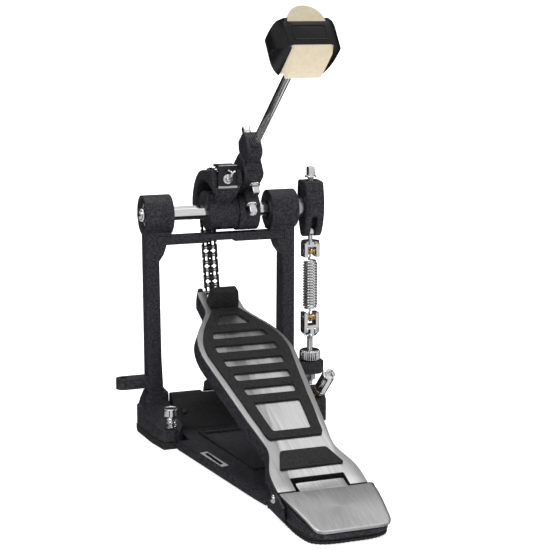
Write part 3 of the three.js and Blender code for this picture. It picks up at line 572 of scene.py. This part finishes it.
def trim_box(x0, x1, y0, y1, z0, z1):
    """Thin bright facing with its front corners taken off."""
    chamfer = 0.12
    verts = []
    for y, inset in ((y0, chamfer), (y0 + chamfer, 0.0), (y1, 0.0)):
        left, right = x0 + inset, x1 - inset
        bottom, top = z0 + inset, z1 - inset
        verts += [(left, y, bottom), (right, y, bottom), (right, y, top), (left, y, top)]
    faces = [(3, 2, 1, 0), (8, 9, 10, 11)]
    for low in (0, 4):
        for i in range(4):
            k = (i + 1) % 4
            faces.append((low + i, low + k, low + 4 + k, low + 4 + i))
    return verts, faces


extra("chain_plate_lip", trim_box(-7.9, 7.9, -24.85, -24.3, 21.7, 23.4), "axle", "steel", ON_AXLE)
extra("chain_plate_cap", trim_box(-7.5, 7.5, -24.7, -10.2, 39.4, 39.85), "axle", "steel", ON_AXLE)
refine("cam_set_screw_a", "black_steel", 0.15)
refine("cam_set_screw_b", "black_steel", 0.15)
refine("upper_eye", "chrome", 0.5)
refine("upper_clevis", "chrome", 1.3, segments=4)
refine("lower_clevis", "chrome", 1.3, segments=4)
refine("lock_nut", "steel", 0.4)
refine("clamp_knob_ring", "brass", 0.3)
refine("beater_head_body", "head_plastic", 1.6, segments=4)
refine("beater_felt", "felt", 2.2, segments=5)
refine("base_badge", "chrome", 0.15, material=BADGE_FOIL)

# Blank dark panel let into the badge.
badge_corners = [(-46.9, -100.2), (-42.0, -98.9), (-36.7, -133.0), (-41.1, -134.0)]
badge_x = sum(x for x, y in badge_corners) / 4
badge_y = sum(y for x, y in badge_corners) / 4
panel_corners = [(badge_x + (x - badge_x) * 0.62, badge_y + (y - badge_y) * 0.84) for x, y in badge_corners]
panel_verts = [(x, y, z) for z in (7.4, 8.0) for x, y in panel_corners]
panel_faces = [(0, 1, 2, 3), (7, 6, 5, 4), (0, 4, 5, 1), (1, 5, 6, 2), (2, 6, 7, 3), (3, 7, 4, 0)]
extra("badge_panel", (panel_verts, panel_faces), "frame", "black_steel")


# ---------- bolts, screws and knobs ----------
def key_bolt(shank, length):
    """Square-headed drum-key bolt with a serrated flange, standing on the flange at height 0."""
    profile = climb(shank, -length, -0.4, 0.16)
    profile += [(shank, 0.0), (4.7, 0.0), (5.0, 0.2), (5.0, 0.9), (4.6, 1.35), (3.3, 1.8), (3.1, 2.2)]
    profile += [(2.95, 2.4), (2.95, 7.9), (2.75, 8.35), (2.4, 8.6), (0.6, 8.6)]
    square = squared(9, 2.1, 9)
    cut = thread(-length, -0.4, 0.9, 0.32)
    teeth = fluted(20, 0.22, 0.1, 1.0)

    def shape(angle, radius, height):
        if height < -0.3:
            return cut(angle, radius, height)
        if height < 1.1 and radius > 3.5:
            return teeth(angle, radius, height)
        return square(angle, radius, height)
    return lathe(profile, 60, shape)


build("beater_clamp_bolt", key_bolt(2.6, 10.6), "beater_key_bolt", "chrome",
      ON_BEATER @ place(*BEATER_BOLT) @ spin(-90, "X"))


def wing_bolt():
    """Chain-plate bolt: plain shank, dished washer and a curved stem that ends in a small fork."""
    stem = [(0, 0, 1.0), (1.1, 2.6, 2.3), (2.4, 5.2, 2.9)]
    fork = [(-1.3, 7.4, 2.7), (0.5, 6.8, 2.9), (2.4, 5.2, 3.0), (4.0, 5.9, 2.9), (4.8, 6.2, 2.7)]
    washer = [(2.1, -1.4), (3.9, -1.4), (3.9, -0.8), (2.4, -0.6), (2.1, 0.9), (1.5, 1.5), (0.3, 1.6)]
    profile = [(0.3, -13.0), (1.9, -12.8)] + climb(2.1, -12.4, -1.6, 0.6) + soften(washer, 0.3)
    wires = [sweep(curve_through(stem), 0.95), sweep(curve_through(fork), 0.8)]
    return merge([lathe(profile, 48)] + wires)


build("chain_plate_wing_bolt", wing_bolt(), "chain_plate_bolt", "chrome",
      ON_AXLE @ place(*CHAIN_BOLT) @ spin(90, "X"))
build("hub_clamp_bolt_lower", key_bolt(2.3, 7), "hub_bolt_lower", "chrome",
      ON_BEATER @ place(*HUB_BOLT_LOWER) @ spin(90, "X"))
build("hub_clamp_bolt_upper", key_bolt(2.3, 12), "hub_bolt_upper", "chrome",
      ON_BEATER @ place(*HUB_BOLT_UPPER) @ spin(90, "X"))
build("rocker_clamp_bolt", key_bolt(2.6, 15.6), "rocker_key_bolt", "chrome",
      ON_AXLE @ place(*ROCKER_BOLT))


def spur():
    """Floor spur: pointed shank inside a coarse coil, under a smooth round head with a dished top."""
    profile = [(0.2, 2.2), (1.2, 3.6), (2.6, 5.6), (3.0, 7.0), (3.0, 24.6), (3.6, 24.9)]
    profile += soften([(4.0, 24.9), (6.1, 24.9), (6.1, 31.3), (4.6, 31.3), (3.9, 30.8), (0.5, 30.7)], 1.1, 5)
    turns, low_end, high_end = 4, 10.2, 24.2
    helix = []
    for i in range(turns * 28 + 1):
        angle = TAU * i / 28
        z = low_end + (high_end - low_end) * i / (turns * 28)
        helix.append((3.7 * math.cos(angle), 3.7 * math.sin(angle), z))
    return merge([lathe(profile, 56), sweep(helix, 0.78, 8)])


build("floor_spur_left", spur(), "spur_left", "chrome", place(-SPUR_X, SPUR_Y, 0))
build("floor_spur_right", spur(), "spur_right", "chrome", place(SPUR_X, SPUR_Y, 0))


def clamp_knob():
    """Hoop-clamp knob: broad scalloped grip with a square recess for a drum key in its end."""
    profile = climb(2.1, -12, 3.9, 0.16)
    profile += soften([(2.1, 4.2), (4.9, 4.2), (5.4, 5.2), (5.4, 7.6), (5.05, 8.0), (5.05, 8.5)], 0.2, 2)
    profile += soften([(5.4, 8.8), (5.4, 30.3), (4.9, 31.0), (3.3, 31.2)], 0.4)
    profile += [(2.6, 31.0), (2.45, 30.4), (2.4, 27.8), (0.4, 27.8)]
    cut = thread(-12, 4, 0.9, 0.3)
    recess = squared(9, 27, 32)

    def shape(angle, radius, height):
        if height < 4:
            return cut(angle, radius, height)
        if 8.7 < height < 29.6 and radius > 5.2:
            return radius - 0.7 * max(0.0, math.cos(8 * angle)) ** 1.6
        if radius < 2.9:
            return recess(angle, radius, height)
        return radius
    return lathe(profile, 96, shape)


build("hoop_clamp_knob", clamp_knob(), "clamp_knob", "chrome", ON_KNOB)

screw_profile = soften([(4.6, 7.2), (4.6, 9.8), (2.7, 10.0)], 0.3) + climb(2.7, 10.2, 38.5, 0.2)
screw_profile += soften([(2.7, 38.9), (6.0, 38.9), (6.0, 40.0), (5.0, 42.3), (1.9, 42.8)], 0.4)
screw_profile += [(1.7, 42.5), (1.6, 40.8), (0.3, 40.8)]
build("hoop_clamp_screw", lathe(screw_profile, 60, thread(10.3, 36, 1.25, 0.42)), "clamp_screw", "chrome",
      place(CLAMP_X, CLAMP_Y, 0))

nut_profile = soften([(2.75, 45.6), (7.6, 45.6), (8.9, 46.6), (8.9, 53.1), (7.8, 54.3), (2.75, 54.3)], 0.35)
build("tension_thumb_nut", lathe(nut_profile, 168, fluted(28, 0.75, 46.3, 53.6, 1.6), ring=True),
      "knurled_nut", "chrome", place(ROCKER_X, 0, 0), smooth_angle=40)

rod_profile = [(0.4, 24.0), (2.3, 24.0), (2.6, 24.4)] + climb(2.6, 24.6, 66.4, 0.16)
rod_profile += [(2.6, 71.8), (0.4, 71.8)]
build("tension_threaded_rod", lathe(rod_profile, 40, thread(24.6, 66, 1.0, 0.34)), "tension_rod", "steel",
      place(ROCKER_X, 0, 0))


def plain_pin(radius, low, high):
    """Pin with domed ends."""
    profile = [(0.2, low), (radius * 0.6, low + 0.05), (radius, low + 0.4), (radius, high - 0.4)]
    return lathe(profile + [(radius * 0.6, high - 0.05), (0.2, high)], 32)


hinge_profile = [(0.3, -37.9), (1.4, -37.7), (2.4, -37.1), (3.0, -36.2), (3.1, -35.8), (1.9, -35.8)]
hinge_profile += [(1.9, 35.8), (3.1, 35.8), (3.0, 36.2), (2.4, 37.1), (1.4, 37.7), (0.3, 37.9)]
build("heel_hinge_pin", lathe(hinge_profile, 40), "hinge_pin", "chrome", place(*HEEL_HINGE) @ ALONG_X)
build("rocker_link_pin", plain_pin(1.85, -7.8, 7.8), "rocker_pin", "steel",
      place(ROCKER_X, 0, AXLE_HEIGHT - ROCKER_PIN_DROP) @ ALONG_X)
build("clamp_jaw_hinge_pin", plain_pin(1.9, -18.8, 18.8), "clamp_jaw_pin", "steel",
      place(*JAW_HINGE) @ ALONG_X)
roller_profile = soften([
    (1.75, -3.3), (3.2, -3.3), (3.2, -2.5), (2.3, -1.2), (2.3, 1.2), (3.2, 2.5), (3.2, 3.3), (1.75, 3.3),
], 0.35)
for side_name, z in (("upper", UPPER_ROLLER_Z), ("lower", LOWER_ROLLER_Z)):
    at = place(ROCKER_X, 0, z) @ ALONG_X
    roller = lathe(roller_profile, 40, ring=True)
    build(f"{side_name}_spring_roller", roller, f"{side_name}_roller", "brass", at)
    build(f"{side_name}_clevis_pin", plain_pin(1.6, -7.3, 7.3), f"{side_name}_pin", "chrome", at)

# ---------- axle bearings and end cap ----------
bearing_profile = soften([
    (5.95, 54.8), (11.0, 54.8), (11.0, 61.2), (9.3, 61.2),
    (9.0, 60.5), (7.6, 60.5), (7.3, 61.2), (5.95, 61.2),
], 0.25)
shield_profile = soften([(7.5, 60.3), (9.1, 60.3), (9.1, 60.9), (7.5, 60.9)], 0.1)
for side_name, turn in (("left", spin(-90, "Y")), ("right", ALONG_X)):
    build(f"ball_bearing_{side_name}", lathe(bearing_profile, 72, ring=True), f"bearing_{side_name}", "steel",
          ON_AXLE @ turn, material=AXLE_STEEL)
    extra(f"bearing_shield_{side_name}", lathe(shield_profile, 72, ring=True), "frame", "rubber",
          ON_AXLE @ turn, material=BEARING_SHIELD)

dome = [(5.6, 61.2), (5.6, 63.0)]
dome += [(5.6 * math.cos(a), 63.0 + 4.8 * math.sin(a)) for a in [math.radians(9 * i) for i in range(1, 10)]]
build("axle_dome_cap", lathe(dome + [(0.1, 67.8)], 64), "axle_end_cap", "chrome", ON_AXLE @ spin(-90, "Y"))


# ---------- beater ----------
def shaft_shape(angle, radius, height):
    """Fine straight knurl on the clamped end of the shaft, dying out above it."""
    fade = min(1.0, max(0.0, (104 - height) / 10))
    return radius - 0.16 * fade * (0.5 + 0.5 * math.cos(24 * angle)) ** 2


shaft_profile = [(0.3, 16.0), (2.8, 16.0), (3.2, 16.5)] + climb(3.2, 17, 110, 4) + climb(3.2, 112, 179, 20)
shaft_profile += [(2.8, 179.8), (0.3, 180.0)]
build("beater_rod", lathe(shaft_profile, 144, shaft_shape), "beater_shaft", "steel",
      ON_BEATER @ place(BEATER_X, SHAFT_OFFSET, 0), material=AXLE_STEEL)


def panel_border(half_wide, low, high, corner):
    """Path of the thin raised border round the blank panel on the end face of the head."""
    path = []
    for i, (x, y) in enumerate([(-half_wide, low), (half_wide, low), (half_wide, high), (-half_wide, high)]):
        corner_x = x - math.copysign(corner, x)
        corner_y = y + corner if y < 0 else y - corner
        for k in range(5):
            a = math.radians(180 + 90 * i + 22.5 * k)
            path.append((corner_x + corner * math.cos(a), corner_y + corner * math.sin(a), HEAD_TOP + 0.05))
    return path + path[:2]


extra("head_panel_border", sweep(panel_border(12.4, -7.0, 5.0, 1.4), 0.45, 8), "beater_head", "head_plastic",
      ON_BEATER @ place(BEATER_X, SHAFT_OFFSET, 0))


# ---------- roller chain ----------
def chain_point(hang):
    """The pitch line in Y and Z, at a distance down from where it leaves the cam; above that it wraps."""
    if hang >= 0:
        y = CHAIN_RADIUS * math.cos(CHAIN_TILT) - hang * math.sin(CHAIN_TILT)
        z = AXLE_HEIGHT - CHAIN_RADIUS * math.sin(CHAIN_TILT) - hang * math.cos(CHAIN_TILT)
        return Vector((y, z))
    angle = -CHAIN_TILT - hang / CHAIN_RADIUS
    return Vector((CHAIN_RADIUS * math.cos(angle), AXLE_HEIGHT + CHAIN_RADIUS * math.sin(angle)))


def link_plate(start, stop, x0, x1):
    """Waisted link plate between two pins, with softened edges, standing across X."""
    along = stop - start
    angle = math.atan2(along.y, along.x)
    outline = []
    for centre, first in ((0.0, 125), (along.length, -55)):
        for i in range(9):
            a = math.radians(first + 110 * i / 8)
            outline.append((centre + 2.75 * math.cos(a), 2.75 * math.sin(a)))
        outline.append((along.length / 2, -1.95 if centre == 0.0 else 1.95))
    middle = along.length / 2
    verts, faces = [], []
    count = len(outline)
    for x, shrink in ((x0, 0.16), (x0 + 0.16, 0.0), (x1 - 0.16, 0.0), (x1, 0.16)):
        for u, v in outline:
            length = math.hypot(u - middle, v)
            k = 1 - shrink / length
            u2, v2 = middle + (u - middle) * k, v * k
            y = start.x + u2 * math.cos(angle) - v2 * math.sin(angle)
            z = start.y + u2 * math.sin(angle) + v2 * math.cos(angle)
            verts.append((x, y, z))
    for layer in range(3):
        for i in range(count):
            k = (i + 1) % count
            a, b = layer * count, (layer + 1) * count
            faces.append((a + i, a + k, b + k, b + i))
    faces.append(tuple(reversed(range(count))))
    faces.append(tuple(range(3 * count, 4 * count)))
    return verts, faces


def across(profile, point, steps=20):
    """A turned piece lying across X at a chain pin."""
    return moved(lathe(profile, steps), place(0, point.x, point.y) @ ALONG_X)


def chain_parts(hangs):
    """Black plates and bright pins with rollers, for neighbouring pins at these distances."""
    plates, bright = [], []
    pins = [chain_point(h) for h in hangs]
    for index, (start, stop) in enumerate(zip(pins, pins[1:])):
        order = round((CHAIN_HANG - hangs[index]) / CHAIN_PITCH)
        if order % 2 == 0:
            spans = [(-5.35, -4.55), (-1.85, -1.05), (1.05, 1.85), (4.55, 5.35)]
        else:
            spans = [(-6.25, -5.45), (-0.45, 0.45), (5.45, 6.25)]
        plates += [link_plate(start, stop, x0, x1) for x0, x1 in spans]
    for pin in pins:
        pin_line = [(0.3, -6.75), (0.9, -6.65), (1.15, -6.4), (1.15, 6.4), (0.9, 6.65), (0.3, 6.75)]
        bright.append(across(pin_line, pin, 14))
        for middle in (-3.2, 3.2):
            roller = [(1.2, middle - 1.3), (1.6, middle - 1.25), (1.66, middle - 1.1), (1.66, middle + 1.1),
                      (1.6, middle + 1.25), (1.2, middle + 1.3)]
            bright.append(across(roller, pin, 18))
    return merge(plates), merge(bright)


all_hangs = [CHAIN_HANG - CHAIN_PITCH * i for i in range(CHAIN_PINS)]
run_plates, run_bright = chain_parts(all_hangs[:LAST_FREE_PIN + 1])
wrap_plates, wrap_bright = chain_parts(all_hangs[LAST_FREE_PIN:])

# The free run and the bar at its lower end are built where they hang at rest; the run's plates take the CAD
# chain span's place.
anchor = chain_point(CHAIN_HANG)
anchor_bar = across([(0.4, -9.9), (1.3, -9.8), (1.6, -9.5), (1.6, 9.5), (1.3, 9.8), (0.4, 9.9)], anchor, 24)
for name, part, slot in (
    ("chain_run_plates", run_plates, "black_steel"),
    ("chain_run_rollers", merge([run_bright, anchor_bar]), "chrome"),
):
    piece = mesh_object(name, *part)
    piece.data.materials.append(FINISH[slot])
    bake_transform(piece)
    if name == "chain_run_plates":
        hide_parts("chain_span")
build("chain_wrap_plates", wrap_plates, "chain_wrap", "black_steel")
extra("chain_wrap_rollers", wrap_bright, "axle", "chrome")

# ---------- extension spring ----------
SPRING_LOW = 89.8
SPRING_HIGH = 130.8


def hook(roller_z, first):
    """End of the spring: an open loop of wire round a roller."""
    angles = [math.radians(first + 150 * i / 11) for i in range(12)]
    return [(0, 3.6 * math.cos(a), roller_z + 3.6 * math.sin(a)) for a in angles]


def spring_path(turns, radius):
    """The wire's line from the lower hook, up the coil, to the upper hook."""
    path = hook(LOWER_ROLLER_Z, 200)
    path += [(0.6, 3.5, LOWER_ROLLER_Z + 2.4), (1.3, 3.3, LOWER_ROLLER_Z + 4.6)]
    for i in range(turns * 24 + 1):
        a = TAU * i / 24 + math.pi / 2
        ease = min(1.0, i / 24, (turns * 24 - i) / 24)
        r = radius - 1.2 * (1 - ease)
        z = SPRING_LOW + (SPRING_HIGH - SPRING_LOW) * i / (turns * 24)
        path.append((r * math.cos(a), r * math.sin(a), z))
    path += [(1.3, 3.3, UPPER_ROLLER_Z - 4.6), (0.6, 3.5, UPPER_ROLLER_Z - 2.4)]
    return path + hook(UPPER_ROLLER_Z, 10)


coil = mesh_object("extension_spring", *sweep(spring_path(18, 5.2), 0.92, 10), place(ROCKER_X, 0, 0), 60)
coil.data.materials.append(FINISH["chrome"])
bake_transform(coil)
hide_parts("spring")

# ---------- heel plate and heel rubber ----------
HEEL_LENGTH = 52.6
TONGUE_HALF = 17.4
# Half width of the heel plate, at distances back from its front edge.
HEEL_SIDE = [
    (0, 32.6), (-10, 31.8), (-23, 30), (-36, 28), (-46, 26.4), (-50, 24.6), (-52, 21.4), (-52.6, 16),
]
TONGUE_LINE = [(-6, -1.0), (-2, -0.35), (1, -0.1), (4, -0.15), (7.5, 0.15), (10.2, 0.65)]


def thick_sheet(rows, thickness, flip=False):
    """A closed sheet under rows of points; flip turns its faces round when the rows run the other way."""
    wide = len(rows[0])
    last = len(rows) - 1
    top = [point for row in rows for point in row]
    size = len(top)
    verts = top + [(x, y, z - thickness) for x, y, z in top]
    faces = []
    for j in range(last):
        for i in range(wide - 1):
            a = j * wide + i
            faces.append((a, a + wide, a + wide + 1, a + 1))
            faces.append((size + a, size + a + 1, size + a + wide + 1, size + a + wide))
    ring = list(range(wide)) + [j * wide + wide - 1 for j in range(1, len(rows))]
    ring += [last * wide + i for i in range(wide - 2, -1, -1)] + [j * wide for j in range(last - 1, 0, -1)]
    for a, b in zip(ring, ring[1:] + ring[:1]):
        faces.append((a, b, b + size, a + size))
    if flip:
        faces = [(face[0], *reversed(face[1:])) for face in faces]
    return verts, faces


def heel_rise(x, v, half):
    """Height of the dished sheet: a gentle crown along it and edges rolled down all round."""
    crown = 1.2 * math.sin(math.pi * min(1.0, max(0.0, -v / HEEL_LENGTH))) ** 0.9
    edge = min(half - abs(x), HEEL_LENGTH + v)
    roll = max(0.0, 1 - edge / 1.1)
    return crown - 0.4 * roll ** 2


def heel_sheet(columns=40):
    """Dished heel plate, a little wider on the player's right."""
    rows = []
    for v, half in curve_through(HEEL_SIDE, 5):
        row = []
        for i in range(columns + 1):
            u = 2 * i / columns - 1
            x = half * math.copysign(abs(u) ** 0.8, u)
            reach = x + max(0.0, u) * (2.6 + 1.2 * v / HEEL_LENGTH)
            row.append((reach, v, heel_rise(x, v, half)))
        rows.append(row)
    return thick_sheet(rows, 1.5)


def tongue_sheet(columns=12):
    """Tongue from the heel plate up into the footboard's slot, curving from one slope to the other."""
    rows = []
    for v, rise in curve_through(TONGUE_LINE, 4):
        row = []
        for i in range(columns + 1):
            x = TONGUE_HALF * (2 * i / columns - 1)
            edge = max(0.0, 1 - (TONGUE_HALF - abs(x)) / 1.2)
            row.append((x, v, rise - 0.4 * edge ** 2))
        rows.append(row)
    return thick_sheet(rows, 1.4, flip=True)


build("dished_heel_plate", heel_sheet(), "heel_plate", "aluminium", ON_HEEL, 50, HEEL_ALUMINIUM)
extra("heel_tongue", tongue_sheet(), "frame", "aluminium", ON_HEEL, 50, HEEL_ALUMINIUM)


def stacked(outline, layers):
    """Loft of one closed X-Y outline through (height, inset, scallop) layers, with ribs 3.2 mm apart."""
    points = [Vector(p) for p in outline]
    count = len(points)
    normals, run, lengths = [], 0.0, []
    for i in range(count):
        ahead = points[(i + 1) % count] - points[i - 1]
        normals.append(Vector((ahead.y, -ahead.x)).normalized())
        lengths.append(run)
        run += (points[(i + 1) % count] - points[i]).length
    verts, faces = [], []
    for z, inset, scallop in layers:
        for point, normal, at in zip(points, normals, lengths):
            out = point - normal * (inset + scallop * (0.5 + 0.5 * math.cos(TAU * at / 3.2)))
            verts.append((out.x, out.y, z))
    for layer in range(len(layers) - 1):
        for i in range(count):
            k = (i + 1) % count
            a, b = layer * count, (layer + 1) * count
            faces.append((a + i, a + k, b + k, b + i))
    faces.append(tuple(reversed(range(count))))
    faces.append(tuple(range((len(layers) - 1) * count, len(layers) * count)))
    return verts, faces


heel_curve = curve_through([
    (31.3, -206.6), (31.3, -230), (31.3, -255), (30, -268), (27.4, -277), (21, -282), (12, -284), (0, -284.2),
], 14)
right = [(p.x, p.y) for p in heel_curve]
left = [(-x, y) for x, y in reversed(right[:-1])]
heel_outline = list(reversed(right)) + list(reversed(left))
heel_layers = [
    (0.0, 1.0, 0.5), (0.5, 0.3, 0.6), (2.0, 0.0, 0.6), (2.4, 0.1, 0.3), (2.6, 0.9, 0.0),
    (3.1, 0.9, 0.0), (3.3, 0.1, 0.0), (4.9, 0.0, 0.0), (5.25, 0.2, 0.0), (5.4, 0.6, 0.0),
]
build("heel_rubber", stacked(heel_outline, heel_layers), "heel_pad", "rubber", smooth_angle=60)


# ---------- floor, light and camera ----------
def backdrop(name, verts, faces, paint, reflect, glow):
    """A stage surface in plain pale paint that also glows evenly."""
    mesh = bpy.data.meshes.new(name)
    mesh.from_pydata(verts, [], faces)
    for polygon in mesh.polygons:
        polygon.use_smooth = True
    surface = bpy.data.objects.new(name, mesh)
    bpy.context.scene.collection.objects.link(surface)
    material, _, shader = principled(paint, (reflect, reflect, reflect), 0.9)
    shader.inputs["Specular IOR Level"].default_value = 0.1
    shader.inputs["Emission Color"].default_value = (1, 1, 1, 1)
    shader.inputs["Emission Strength"].default_value = glow
    surface.data.materials.append(material)
    surface.visible_glossy = False
    return surface


curve_angles = [math.radians(9 * i) for i in range(1, 11)]
sweep_rows = [(-3.0, 0.0), (1.0, 0.0)]
sweep_rows += [(1.0 + 0.8 * math.sin(a), 0.8 - 0.8 * math.cos(a)) for a in curve_angles]
sweep_rows += [(1.8, 3.5)]
floor_verts = [(x, y, z - 0.0001) for y, z in sweep_rows for x in (-3.5, 3.5)]
floor_faces = [(2 * i, 2 * i + 1, 2 * i + 3, 2 * i + 2) for i in range(len(sweep_rows) - 1)]
backdrop("studio_floor", floor_verts, floor_faces, "studio_paper", 0.93, 0.7)

# A pale wall all round, seen by the camera alone, so every side view has the same plain backdrop.
WALL_SIDES = 64
wall_angles = [TAU * i / WALL_SIDES for i in range(WALL_SIDES)]
wall_verts = [(3.4 * math.cos(a), 3.4 * math.sin(a), z) for z in (-0.1, 4.0) for a in wall_angles]
wall_faces = []
for i in range(WALL_SIDES):
    k = (i + 1) % WALL_SIDES
    wall_faces.append((i, k, WALL_SIDES + k, WALL_SIDES + i))
wall = backdrop("studio_wall", wall_verts, wall_faces, "studio_plaster", 0.02, 1.0)
wall.visible_diffuse = False
wall.visible_transmission = False
wall.visible_shadow = False


def math_node(tree, operation, first, second):
    """A two-input math node; second may be a number or another node's output."""
    node = tree.nodes.new("ShaderNodeMath")
    node.operation = operation
    tree.links.new(first, node.inputs[0])
    if isinstance(second, (int, float)):
        node.inputs[1].default_value = second
    else:
        tree.links.new(second, node.inputs[1])
    return node.outputs["Value"]


def grey_ramp(tree, value, first, last, stops):
    """A colour ramp with (position, colour) ends and grey (position, level) stops between."""
    ramp = tree.nodes.new("ShaderNodeValToRGB")
    elements = ramp.color_ramp.elements
    for element, (position, colour) in zip(elements, (first, last)):
        element.position = position
        element.color = (*colour, 1)
    for position, level in stops:
        elements.new(position).color = (level, level, level, 1)
    tree.links.new(value, ramp.inputs["Fac"])
    return ramp.outputs["Color"]


def studio_world():
    """Pale away from the horizon and towards the player, dark near it, with two upright black flags.

    The flags stand left and right of the pedal and give the plated parts their dark lines.
    """
    world = bpy.data.worlds.new("studio_world")
    bpy.context.scene.world = world
    world.use_nodes = True
    sky = world.node_tree
    direction = sky.nodes.new("ShaderNodeTexCoord")
    axes = sky.nodes.new("ShaderNodeSeparateXYZ")
    sky.links.new(direction.outputs["Generated"], axes.inputs["Vector"])
    height = math_node(sky, "ABSOLUTE", axes.outputs["Z"], 0.0)
    front = math_node(sky, "MULTIPLY", axes.outputs["Y"], -0.35)
    clear = math_node(sky, "ADD", height, front)
    fade = grey_ramp(sky, clear, (0.02, (0.04, 0.04, 0.045)), (1.0, (1.0, 1.0, 1.0)),
                     [(0.10, 0.12), (0.22, 0.62), (0.36, 0.9)])
    sideways = remap(sky, axes.outputs["X"], -1, 1, 0, 1)
    flags = grey_ramp(sky, sideways, (0.0, grey(0.75)), (1.0, grey(0.75)), [
        (0.16, 1.0), (0.19, 0.06), (0.27, 0.06), (0.30, 1.0),
        (0.74, 1.0), (0.77, 0.08), (0.85, 0.08), (0.88, 0.8),
    ])
    background = sky.nodes["Background"]
    sky.links.new(math_node(sky, "MULTIPLY", fade, flags), background.inputs["Color"])
    background.inputs["Strength"].default_value = 0.8


def softbox(name, location, target, size, power):
    light = bpy.data.lights.new(name, "AREA")
    light.shape = "RECTANGLE"
    light.size, light.size_y = size
    light.energy = power
    lamp = bpy.data.objects.new(name, light)
    bpy.context.scene.collection.objects.link(lamp)
    lamp.location = location
    lamp.rotation_euler = (Vector(target) - Vector(location)).to_track_quat("-Z", "Y").to_euler()


studio_world()
softbox("key_softbox", (-1.3, -1.2, 1.5), (0, -0.05, 0.12), (1.0, 1.0), 10)
softbox("fill_softbox", (1.5, -0.9, 0.9), (0, -0.05, 0.12), (0.5, 1.2), 4)
softbox("top_softbox", (0.1, 0.2, 1.9), (0, -0.05, 0.1), (1.4, 1.0), 7)

camera_data = bpy.data.cameras.new("photo_camera")
camera = bpy.data.objects.new("photo_camera", camera_data)
bpy.context.scene.collection.objects.link(camera)
camera.location = (-0.3293, -1.0575, 0.3381)
camera.rotation_euler = (math.radians(79.02), 0, math.radians(-19.65))
camera_data.lens = 90.3
camera_data.sensor_width = 36
camera_data.clip_start = 0.05
camera_data.clip_end = 20
bpy.context.scene.camera = camera
bpy.context.scene.view_settings.view_transform = "Standard"
